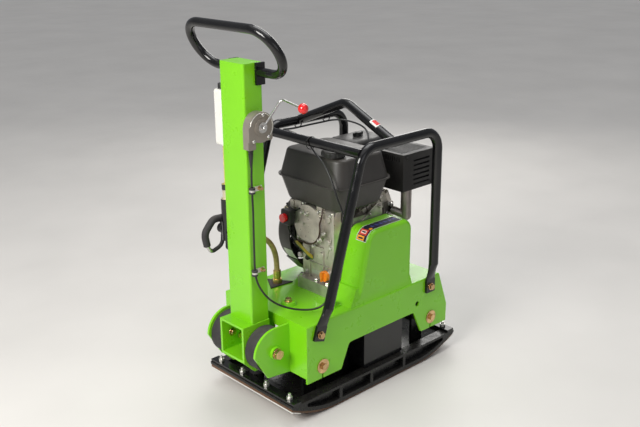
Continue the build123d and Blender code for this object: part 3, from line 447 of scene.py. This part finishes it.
def add_prism(bm, outline, low, high, place):
    """An outline in XY given a height along Z, then moved by `place`."""
    bottom = [bm.verts.new(place @ Vector((x, y, low))) for x, y in outline]
    top = [bm.verts.new(place @ Vector((x, y, high))) for x, y in outline]
    bm.faces.new(bottom)
    bm.faces.new(top)
    for step in range(len(outline)):
        after = (step + 1) % len(outline)
        bm.faces.new((bottom[step], bottom[after], top[after], top[step]))


def add_sheet(bm, rows):
    """A ribbon of faces between rows of two points each."""
    made = [[bm.verts.new(at) for at in row] for row in rows]
    for first, second in zip(made, made[1:]):
        bm.faces.new((first[0], first[1], second[1], second[0]))


def add_hex(bm, centre, direction, across, height, washer=None):
    """A chamfered hexagon head, facing `direction`, on an optional washer of (radius, height)."""
    place = Matrix.Translation(Vector(centre)) @ turn_to(direction)
    start = 0.0
    if washer:
        add_lathe(bm, [(0, 0), (washer[0] - 0.4, 0), (washer[0], 0.4), (washer[0], washer[1] - 0.5),
                       (washer[0] - 0.6, washer[1]), (0, washer[1])], centre, direction, 32)
        start = washer[1]
    corner = across / 2 / cos(pi / 6)
    levels = [(corner, start), (corner, start + height * 0.8), (across / 2 * 0.97, start + height)]
    rings = []
    for radius, along in levels:
        turns = [pi / 3 * step for step in range(6)]
        rings.append([bm.verts.new(place @ Vector((radius * cos(turn), radius * sin(turn), along)))
                      for turn in turns])
    bm.faces.new(rings[0])
    bm.faces.new(rings[-1])
    for first, second in zip(rings, rings[1:]):
        for step in range(6):
            bm.faces.new((first[step], first[(step + 1) % 6], second[(step + 1) % 6], second[step]))


def rounded_corner(before, corner, after, radius, step):
    """Two straight runs joined by an arc, with points about a step apart round it."""
    arriving, leaving = (corner - before).normalized(), (after - corner).normalized()
    turn = arriving.angle(leaving)
    back = radius * tan(turn / 2)
    start, end = corner - arriving * back, corner + leaving * back
    centre = corner + (leaving - arriving).normalized() * (radius / cos(turn / 2))
    count = max(3, int(radius * turn / step))
    arc = [centre + (start - centre).slerp(end - centre, stage / count).normalized() * radius
           for stage in range(count + 1)]
    return [before, *arc, after]


def add_tube(bm, path, radius, segments):
    """A closed tube along a path."""
    path = [Vector(point) for point in path]
    tangents = [(after - before).normalized()
                for before, after in zip(path[:1] + path[:-1], path[1:] + path[-1:])]
    side = tangents[0].orthogonal().normalized()
    if abs(tangents[0].y) < 0.9:
        side = (Vector((0, 1, 0)) - tangents[0] * tangents[0].y).normalized()
    turns = [2 * pi * step / segments for step in range(segments)]
    rings = []
    for point, tangent in zip(path, tangents):
        side = (side - tangent * side.dot(tangent)).normalized()
        other = tangent.cross(side)
        rings.append([bm.verts.new(point + side * (cos(turn) * radius) + other * sin(turn) * radius)
                      for turn in turns])
    for first, second in zip(rings, rings[1:]):
        for step in range(segments):
            after = (step + 1) % segments
            bm.faces.new((first[step], first[after], second[after], second[step]))
    bm.faces.new(rings[0])
    bm.faces.new(rings[-1])


def spline_points(route, resolution=6):
    """Points along the NURBS spline whose control points are the route's own."""
    curve = bpy.data.curves.new("route", "CURVE")
    curve.dimensions = "3D"
    spline = curve.splines.new("NURBS")
    spline.points.add(len(route) - 1)
    for point, place in zip(spline.points, route):
        point.co = (*place, 1)
    spline.order_u = 3
    spline.use_endpoint_u = True
    curve.resolution_u = resolution
    holder = bpy.data.objects.new("route", curve)
    scene.collection.objects.link(holder)
    mesh = bpy.data.meshes.new_from_object(holder)
    points = [vertex.co.copy() for vertex in mesh.vertices]
    bpy.data.objects.remove(holder)
    bpy.data.meshes.remove(mesh)
    bpy.data.curves.remove(curve)
    return points


# ---- handle -------------------------------------------------------------------------------------------
BALL, BALL_CUT = Vector((-290, -175, 938)), 14.8
LEVER_HUB = Vector((-358, -83, 882))
HOUSING_FACE, HOUSING_SCREWS = -79.4, ((-386, 846), (-334, 852), (-352, 916))
CABLE_X, CABLE_Y, CABLE_EXIT = -385.0, -63.0, 822.5
CLIP_HEIGHTS = (703, 456)
BARREL_TOP, FITTING_TOP, NUT_TOP = 647.5, 674.5, 691  # the pump, from its barrel up to its feed pipe
GRIP_PIVOT = Vector(JOINTS["travel_lever_turn"]["pos_m"]) * 1000


def handle_parts():
    """The levers, pump and clips in their separate materials, and the handle's small added pieces."""
    feed_tube = material("feed_tube", (0.55, 0.42, 0.12), rough=0.3, coat=0.3)
    cream_metal = material("cream_metal", (0.62, 0.55, 0.40), rough=0.4, metal=0.5)
    split("throttle_lever", [
        ("lever_arm", machined(), "machined_steel", lambda at: (at - BALL).length > BALL_CUT),
        ("lever_ball", red_gloss(), "red_plastic", lambda at: (at - BALL).length <= BALL_CUT)])
    split("pump", [
        ("feed_pipe", feed_tube, "clear_white", lambda at: at.z > NUT_TOP),
        ("feed_nut", moulded_black(), "black_casting", lambda at: FITTING_TOP < at.z <= NUT_TOP),
        ("feed_fitting", cream_metal, "zinc", lambda at: BARREL_TOP < at.z <= FITTING_TOP),
        ("pump_barrel", black_paint(), "black_paint", lambda at: at.z <= BARREL_TOP)])
    split("travel_lever", [
        ("lever_grip", rubber(), "rubber_black", lambda at: not lever_tip(at)),
        ("lever_rod", machined(), "machined_steel", lever_tip)])
    split("cable_clips", [
        ("clip_straps", zinc(), "zinc", lambda at: not clip_rubber(at) and not clip_screw(at)),
        ("clip_cushions", rubber(), "rubber_black", clip_rubber),
        ("clip_screws", yellow_zinc(), "yellow_zinc", clip_screw)])
    solid("housing_screws", housing_screws, machined(), "handle", bevel=0.4)
    solid("clip_sleeves", clip_sleeves, rubber(), "handle", bevel=0.3)
    # the lip's bright zinc against the darker housing is a painted highlight on the rim
    solid("housing_rim", housing_rim, zinc(), "handle", bevel=0.5)
    solid("strain_relief", strain_relief, cable_black(), "handle")
    solid("bracket_screw", lambda bm: add_hex(bm, (-395, 43.5, 236), OUT, 17, 8, (13, 2)),
          yellow_zinc(), "handle", bevel=0.5)


def lever_tip(at):
    """The bare bend at the loop's lower end, between the grip and the sleeved return."""
    reach = at - GRIP_PIVOT
    return reach.x < -46 and -64 < reach.z < -42


def clip_rubber(at):
    """A clip's cushion: what lies against the cable, and what stands out beyond the strap's width."""
    across = hypot(at.x - CABLE_X, at.y - CABLE_Y)
    return across < 7.0 or across < 9.5 and min(abs(at.z - middle) for middle in CLIP_HEIGHTS) > 5


def clip_screw(at):
    """The screw that holds a clip's tab to the column."""
    return at.x > -362 and at.y < -56.6


def clip_sleeves(bm):
    """The rubber that shows above and below each clip's strap."""
    for middle in CLIP_HEIGHTS:
        for low in (-8.5, 3):
            add_lathe(bm, [(3.2, low), (9.3, low), (9.3, low + 5.5), (3.2, low + 5.5), (3.2, low)],
                      (CABLE_X, CABLE_Y, middle), UP, 24)


def strain_relief(bm):
    """The cable's tapered boot under the throttle housing."""
    add_lathe(bm, [(0, 0), (7.5, 0), (7.5, 8), (5.8, 9), (5.8, 12), (6.8, 13), (4.2, 44), (3.3, 52), (0, 52)],
              (CABLE_X, CABLE_Y, CABLE_EXIT), (0, 0, -1), 24)


def housing_screws(bm):
    """The throttle housing's hub nut and its three round-headed screws."""
    add_lathe(bm, [(0, 0), (6, 0), (6, 3), (4.5, 5.5), (0, 6.2)], (LEVER_HUB.x, -90.4, LEVER_HUB.z), OUT, 24)
    for x, z in HOUSING_SCREWS:
        add_lathe(bm, [(0, 0), (5.2, 0), (5.2, 1.4), (3.4, 3.6), (0, 4.2)], (x, HOUSING_FACE, z), OUT, 20)


def housing_rim(bm):
    """The raised lip round the housing's dish. Its bright zinc, against the darker grey of the same casting, is a
    painted highlight on the rim.
    """
    arc = [(LEVER_HUB.x + 39.5 * cos(turn), HOUSING_FACE - 0.2, LEVER_HUB.z + 39.5 * sin(turn))
           for turn in (radians(step) for step in range(-40, 176, 6))]
    add_tube(bm, arc, 1.6, 8)


# ---- cables -------------------------------------------------------------------------------------------
CABLE_ROUTE = [
    (CABLE_X, CABLE_Y, 820), (CABLE_X, CABLE_Y - 2, 780), (CABLE_X - 1, CABLE_Y, 738),
    (CABLE_X, CABLE_Y, 690), (CABLE_X - 2, CABLE_Y - 4, 640), (CABLE_X - 2, CABLE_Y - 3, 580),
    (CABLE_X, CABLE_Y, 520), (CABLE_X, CABLE_Y, 470), (CABLE_X + 2, CABLE_Y - 1, 440),
    (CABLE_X + 12, CABLE_Y - 4, 408), (-352, -74, 372), (-322, -84, 344), (-286, -98, 324), (-252, -115, 314),
    (-222, -136, 313), (-200, -152, 324), (-187, -160, 349), (-170, -164, 398), (-152, -165, 453),
    (-138, -165, 506), (-127, -165, 552), (-125, -163, 586), (-130, -157, 614), (-136, -147, 642),
    (-138, -133, 678), (-137, -112, 713), (-134, -86, 737), (-130, -60, 752), (-121, -36, 759),
    (-107, -12, 761), (-91, 12, 763), (-81, 34, 772), (-78, 60, 781), (-78, 90, 786), (-80, 118, 789),
    (-78, 148, 790), (-60, 176, 784), (-24, 189, 776), (24, 190, 775), (74, 189, 776), (122, 190, 775),
    (164, 188, 776), (194, 172, 775), (206, 140, 772), (208, 102, 768), (200, 66, 762), (184, 36, 748),
    (164, 17, 722), (151, 11, 690), (146, 10, 662), (146, 9, 641),
]
HOSE_ROUTE = [
    (-150, 118, 324), (-150, 118, 356), (-155, 116, 396), (-171, 112, 434), (-200, 104, 466),
    (-240, 95, 486), (-282, 82, 495), (-318, 74, 496), (-346, 74, 496),
]
CABLE_RADIUS, HOSE_RADIUS, ROPE_RADIUS = 3.0, 9.0, 2.2
CABLE_BEND = ((-0.215, 0, 0.320), (-0.375, 0, 0.320))  # metres: from the machine to the handle
HOSE_BEND = ((-0.160, 0, 0.400), (-0.340, 0, 0.500))
ROPE_EXIT, ROPE_PULL = Vector((52, 192, 520)), Vector((0, cos(radians(25)), sin(radians(25))))
ROPE_REACH = 12  # shown on each side of its exit
TIES = (  # centre, axis, radius, the lock's side
    ((-99, 4, 777.2), (0, 1, 0), 18.8, (-1, 0, 0.5)),
    ((24, 203, 790), (1, 0, 0), 18.6, (0, -1, 0.6)),
    ((150, 203, 790), (1, 0, 0), 18.6, (0, -1, 0.6)),
)


def along_cable(name, path, radius, segments, look, slot, node, far_body, start, end):
    """A cable as one fixed tube along its path, in place of its CAD node."""
    bm = bmesh.new()
    add_tube(bm, path, radius, segments)
    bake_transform(piece(name, bm, look, None, (node,)))


def cables():
    """The throttle cable, the hydraulic hose, the recoil rope and the ties on the cage."""
    along_cable("throttle_cable_visual", spline_points(CABLE_ROUTE, 10), CABLE_RADIUS, 16, cable_black(),
                "cable_black", "throttle_cable", "handle", *CABLE_BEND)
    along_cable("hydraulic_hose_visual", spline_points(HOSE_ROUTE, 10), HOSE_RADIUS, 16, tan_hose(),
                "hose_tan", "hydraulic_hose", "handle", *HOSE_BEND)
    rope = [ROPE_EXIT + ROPE_PULL * (ROPE_REACH * step / 6) for step in range(-6, 7)]
    start, end = (tuple((ROPE_EXIT + ROPE_PULL * reach) * MM) for reach in (-ROPE_REACH, ROPE_REACH))
    along_cable("recoil_rope_visual", rope, ROPE_RADIUS, 12, moulded_black(), "cable_black", "recoil_rope",
                "recoil_grip", start, end)
    solid("cable_ties", cable_ties, moulded_black())


def cable_ties(bm):
    """Thin bands round the cage, each with its small lock."""
    for centre, axis, radius, lock in TIES:
        add_lathe(bm, [(radius, -2), (radius + 1.3, -2), (radius + 1.3, 2), (radius, 2), (radius, -2)],
                  centre, axis, 32)
        outward = Vector(lock).normalized()
        start = Vector(centre) + outward * radius
        add_tube(bm, [start, start + outward * 5], 3.4, 4)


# ---- cover and cage ---------------------------------------------------------------------------------
COVER_OUTLINE = Vector((-72, 0, 347)), Vector((-30, 0, 521)), Vector((163, 0, 521))
COVER_RADIUS, STRIP_STEP = 42, 2.5


def cover_profile():
    """The belt cover's outline, up its rear slope and along its top: (length so far, point, normal)."""
    points = rounded_corner(*COVER_OUTLINE, COVER_RADIUS, 3.0)
    length, profile = 0.0, [(0.0, points[0], Vector((-1, 0, 0)))]
    for before, after in zip(points, points[1:]):
        along = after - before
        length += along.length
        profile.append((length, after, Vector((-along.z, 0, along.x)).normalized()))
    return profile


def add_strip(bm, start, end, low_y, high_y, lift):
    """A band of the cover's outline between two lengths along it, lifted off its surface."""
    profile = cover_profile()

    def point(length):
        for (before, first, _), (after, second, normal) in zip(profile, profile[1:]):
            if before <= length <= after and after > before:
                return first.lerp(second, (length - before) / (after - before)) + normal * lift
        return profile[-1][1] + profile[-1][2] * lift

    count = max(2, int((end - start) / STRIP_STEP))
    path = [point(start + (end - start) * step / count) for step in range(count + 1)]
    add_sheet(bm, [[(at.x, y, at.z) for y in (low_y, high_y)] for at in path])


DECAL_START = 143.0  # as a length along the cover's outline
DECAL_LOW, DECAL_HIGH = -168.4, -129.6
# piece, look, colour, bands: (start, end, gap at its low side, gap at its high side, lift)
DECAL_LAYERS = (
    ("decal_border", "decal_white", (0.80, 0.80, 0.78), ((0, 181, -1.6, -1.6, 0.35),)),
    ("decal_field", "decal_black", (0.012, 0.012, 0.022), ((1.6, 179.4, 0, 0, 0.6),)),
    ("decal_orange", "decal_orange", (0.85, 0.33, 0.02), ((3, 17, 9, 2, 0.9), (44, 54, 3, 25.8, 0.9))),
    ("decal_red", "decal_red", (0.62, 0.05, 0.03), ((20, 40, 5, 3, 0.9),)),
    ("decal_light", "decal_pale", (0.85, 0.62, 0.55), ((25, 35, 10, 9, 1.15),)),
    ("decal_dark", "decal_black", (0.012, 0.012, 0.022), ((27.5, 32.5, 13, 12, 1.4), (7, 12, 13, 7, 1.2))),
    ("decal_marks", "decal_blue", (0.07, 0.08, 0.30),
     [band for index in range(6) for band in ((62 + index * 19.5, 70.5 + index * 19.5, 14, 12, 1.0),
                                              (72.5 + index * 19.5, 75 + index * 19.5, 16, 16, 1.0))]),
)


def cover_decal():
    """A plain warning band with no words: border, black field, coloured signs and a row of dashes."""
    for name, look, color, bands in DECAL_LAYERS:
        def layer(bm):
            for start, end, below, above, lift in bands:
                add_strip(bm, DECAL_START + start, DECAL_START + end, DECAL_LOW + below, DECAL_HIGH - above,
                          lift)
        solid(name, layer, flat_look(look, color))


ARCH_FOOT, ARCH_TOP = Vector((34, -207.2, 794.5)), Vector((47, 0, 880.5))


def arch_sticker():
    """A small plain red and white patch on the upper side of the arch's near half."""
    along = (ARCH_TOP - ARCH_FOOT).normalized()
    up = (Vector((0, 0, 1)) - along * along.z).normalized()
    side = up.cross(along)

    def patch(bm, start, end, lift, first, last):
        outward = [(up * cos(turn) + side * sin(turn)) * lift
                   for turn in (radians(step) for step in range(first, last + 1, 8))]
        add_sheet(bm, [[ARCH_FOOT + along * reach + out for reach in (start, end)] for out in outward])

    solid("arch_tag_white", lambda bm: patch(bm, 68, 100, 15.25, -72, 56),
          flat_look("tag_white", (0.75, 0.74, 0.70)))
    solid("arch_tag_red", lambda bm: patch(bm, 71, 96, 15.5, -64, 32),
          flat_look("tag_red", (0.60, 0.02, 0.02)))


# ---- engine -------------------------------------------------------------------------------------------
DISC = Vector((-106, 16, 514))  # the round cover on the case's rear
DISC_SCREW_CIRCLE, DISC_WIRE_CIRCLE = 69, 62
DISC_SCREWS = ((37, 551), (18, 550), (-40, 478))
CASE_REAR = -90
CASE_SCREWS = ((-72, 352), (-72, 560), (40, 350), (-74, 456))
CASE_BOSSES = ((-60, 470), (-62, 545), (60, 560), (-30, 420))
CASE_RIBS = (  # opposite corners
    ((-93, -86, 345), (-90, -79, 572)), ((-95, -40, 444), (-90, 50, 447)),
    ((-93.5, -60, 386), (-90, 40, 389)), ((-93.5, -40, 336), (-90, -36, 436)),
    ((-93.5, 22, 336), (-90, 26, 436)), ((-104, 84, 545), (-82, 100, 580)),
    ((-100, 52, 556), (-84, 84, 581)), ((-98, -40, 560), (-84, -16, 581)),
)
TANK_POSTS = ((-94, -35, 548), (-97, 53, 536), (-84, 108, 548))
FOOT_TOP, FOOT_SCREWS = 336, ((-108, -24), (-108, -72), (-108, 44))
SHROUD = [(18, 534), (43, 541), (62, 556), (92, 572), (112, 572), (122, 560), (150, 562), (150, 530)]
HEAD_PLATE = [(30, 520), (64, 546), (100, 566), (116, 562), (120, 520)]
HEAD_SCREWS = ((44, -67, 548), (78, -67, 560), (128, -67, 556), (60, -91, 536), (104, -91, 552))
FLANGE_NUTS = ((178, -68, 536), (168, -68, 508))
GUARD_SCREWS = ((168, -147, 706), (288, -147, 608))
PIPE_TOP = 600
FAN_X, FAN_Z, LABEL_RADIUS = 10, 455, 124.5
XZ = Matrix(((1, 0, 0, 0), (0, 0, -1, 0), (0, 1, 0, 0), (0, 0, 0, 1)))  # outline (x, z), height to the right


def engine_bolts(bm):
    """The hexagon screws of the round cover, the case and the feet."""
    for turn in (radians(60 * index + 12) for index in range(6)):
        add_hex(bm, (DISC.x + 6, DISC.y + DISC_SCREW_CIRCLE * cos(turn), DISC.z + DISC_SCREW_CIRCLE * sin(turn)),
                BACK, 9, 6, (6.5, 1.2))
    for y, z in DISC_SCREWS:
        add_hex(bm, (DISC.x - 4, y, z), BACK, 9, 5.5, (6, 1.2))
    for y, z in CASE_SCREWS:
        add_hex(bm, (CASE_REAR, y, z), BACK, 10, 6, (8, 1.4))
    for x, y in FOOT_SCREWS:
        add_hex(bm, (x, y, FOOT_TOP), UP, 13, 8, (10, 1.8))


def case_ribs(bm):
    """Cast ribs, bosses and the parting flange on the case's rear face."""
    for low, high in CASE_RIBS:
        add_box(bm, low, high)
    add_tube(bm, [(-91, -83, 512), (-91, -52, 414)], 2.4, 6)
    for y, z in DISC_SCREWS:
        add_lathe(bm, [(0, 0), (9, 0), (8.4, 4), (0, 4)], (DISC.x, y, z), BACK, 20)
    for y, z in CASE_BOSSES:
        add_lathe(bm, [(0, 0), (11, 0), (10, 7), (0, 7)], (CASE_REAR + 1, y, z), BACK, 24)
    add_lathe(bm, [(0, 0), (5, 0), (5, 1.2), (2.4, 1.6), (2.4, 0.4), (0, 0.4)], (DISC.x, 34, 512), BACK, 20)
    for foot in TANK_POSTS:
        add_lathe(bm, [(0, 0), (8, 0), (8, 14), (5.5, 16), (5.5, 24), (0, 24)], foot, UP, 24)


def wire(points, radius, name, look):
    """A short fixed wire or hose on the engine."""
    solid(name, lambda bm: add_tube(bm, spline_points(points, 8), radius, 10), look)


def engine_wires():
    """The wires round the cover and to the oil sensor, the loom's sleeve and the breather hose."""
    brown = material("wire_brown", (0.045, 0.018, 0.010), rough=0.4, vary=0.1)
    yellow = material("wire_yellow", (0.50, 0.38, 0.04), rough=0.4, vary=0.1)
    green = material("wire_green", (0.05, 0.16, 0.03), rough=0.4, vary=0.1)
    pale = material("wire_pale", (0.55, 0.48, 0.30), rough=0.4)
    ring = [(DISC.x - 4, DISC.y + 3 + DISC_WIRE_CIRCLE * cos(turn), DISC.z + DISC_WIRE_CIRCLE * sin(turn))
            for turn in (radians(step) for step in range(164, 290, 12))]
    wire([(-94, -38, 576), (-102, -44, 552), *ring, (-108, 54, 453), (-104, 74, 450)], 2.4,
         "wire_round_cover", brown)
    for index, (shift, look) in enumerate(((0, yellow), (4, yellow), (-4, green), (8, yellow))):
        wire([(-100, 86, 448), (-107, 72, 441 + shift), (-110, 53, 437 + shift), (-109, 33, 425 + shift),
              (-104, 16, 410 + shift), (-92, 10, 400 + shift)], 1.9, f"loom_{index}", look)
    wire([(-122, 92, 500), (-116, 98, 478), (-108, 84, 456), (-106, 66, 446)], 3.4, "loom_sleeve",
         moulded_black())
    wire([(-130, 100, 548), (-118, 112, 560), (-112, 96, 548), (-116, 84, 536), (-122, 78, 548)], 1.4,
         "loom_top", pale)
    wire([(-112, 108, 566), (-108, 96, 552), (-110, 70, 548), (-104, 50, 560)], 3.0, "breather",
         moulded_black())
    sensor = [(0, 0), (15, 0), (15, 4), (12, 5), (12, 30), (9, 35), (0, 35)]
    solid("oil_sensor", lambda bm: add_lathe(bm, sensor, (-60, 69, 397), BACK, 28), machined(),
          bevel=0.5)
    boot = [(0, 0), (8, 0), (8, 12), (5, 16), (0, 16)]
    solid("sensor_boot", lambda bm: add_lathe(bm, boot, (CASE_REAR, 27, 400), BACK, 20), moulded_black(),
          bevel=0.5)


def blank_plates():
    """One plate on the sump and one label on the fan housing, in place of printed ones."""
    solid("sump_plate", lambda bm: add_box(bm, (-91.5, -29, 350.5), (CASE_REAR, 15, 363.5)),
          material("plate_silver", (0.62, 0.61, 0.58), rough=0.35, metal=0.6), bevel=0.3)
    turns = [radians(step) for step in range(203, 225, 3)]
    rows = [[(FAN_X + LABEL_RADIUS * cos(turn), y, FAN_Z + LABEL_RADIUS * sin(turn)) for y in (95, 136)]
            for turn in turns]
    solid("fan_label", lambda bm: add_sheet(bm, rows), flat_look("label_white", (0.72, 0.72, 0.70)))


def head_details(bm):
    """Shrouds, studs and small castings between the cylinder and the belt cover."""
    lean = Matrix.Rotation(radians(-25), 4, "Y")
    for index in range(5):
        place = Matrix.Translation((50 + 20 * index, -66, 547 + 5 * index)) @ lean
        add_prism(bm, [(-8, -13), (8, -13), (5, 13), (-5, 13)], -8, 8, place)
    add_prism(bm, SHROUD, 62, 66, XZ)
    add_prism(bm, HEAD_PLATE, 87, 90, XZ)
    for at in HEAD_SCREWS:
        add_hex(bm, at, OUT, 10, 7, (7, 1.4))


def flange_nuts(bm):
    for at in FLANGE_NUTS:
        add_hex(bm, at, OUT, 12, 9, (9, 2))


def guard_screws(bm):
    for at in GUARD_SCREWS:
        add_hex(bm, at, OUT, 8, 4, (6, 1))


def engine_parts():
    """The silencer in its two materials, and the engine's small added pieces."""
    split("muffler", [
        ("muffler_can", heat_black(), "muffler_steel", lambda at: at.z > PIPE_TOP),
        ("exhaust_pipe", heat_steel(), "muffler_steel", lambda at: at.z <= PIPE_TOP)])
    solid("engine_screws", engine_bolts, zinc(), bevel=0.4)
    solid("case_ribs", case_ribs, cast_alloy(), bevel=0.8)
    solid("head_castings", head_details, cast_alloy(), bevel=0.6)
    engine_wires()
    blank_plates()
    solid("stub_nut", flange_nuts, machined(), bevel=0.4)
    solid("guard_screws", guard_screws, heat_black(), bevel=0.3)


# ---- deck and base ------------------------------------------------------------------------------------
UNION_X, UNION_Y, HEX_REACH = -150, 118, 17
FLAP_TOP, DECK_UNDERSIDE = 302.1, 297.9


def union_metal(at):
    """The union's hexagon over its rubber flap, and its end under the deck."""
    return hypot(at.x - UNION_X, at.y - UNION_Y) < HEX_REACH and at.z > FLAP_TOP or at.z < DECK_UNDERSIDE


def hose_ferrule(bm):
    """The brass collar at the hose's lower end."""
    add_lathe(bm, [(9.2, 0), (12, 0), (12.4, 3), (12.4, 22), (11.4, 24), (9.2, 24)],
              (UNION_X, UNION_Y, 322), UP, 28)


def strip_lips(bm):
    """The upturned lip of the thin strip at each end of the mat."""
    for low, high in ((-369.5, -366.5), (366.5, 369.5)):
        add_box(bm, (low, -197, 44.5), (high, 197, 49.5))


def deck_parts():
    """The hose's union on the deck and the mat's end strips."""
    split("hose_union", [
        ("union_hex", brass(), "brass", union_metal),
        ("union_flap", rubber(), "rubber_black", lambda at: not union_metal(at))])
    solid("hose_ferrule", hose_ferrule, brass(), bevel=0.4)
    solid("strip_lips", strip_lips, strip_zinc(), bevel=0.4)


# ---- the whole machine --------------------------------------------------------------------------------
BUILT_ABOVE = {"throttle_lever", "pump", "travel_lever", "cable_clips", "throttle_cable", "hydraulic_hose",
               "recoil_rope", "muffler", "hose_union"}
OTHER_LOOK = {"throttle_housing": housing_grey, "clamp_strips": strip_zinc, "muffler_guard": heat_black,
              "bump_stop": rubber, "rubber_discs": rubber, "shock_mounts": rubber}
EDGE_WIDTH = {"console": 1.2, "handle_column": 1.5, "base_plate": 1.6, "fuel_tank": 1.5, "crankcase": 2.0,
              "belt_cover": 1.0, "reservoir": 1.0, "throttle_housing": 1.4, "muffler_guard": 0.8}

make_camera()
make_stage()
for plain in sorted(set(NODES) - BUILT_ABOVE):
    refine(plain, OTHER_LOOK[plain]() if plain in OTHER_LOOK else None, EDGE_WIDTH.get(plain, 0.5))
handle_parts()
cables()
cover_decal()
arch_sticker()
deck_parts()
engine_parts()
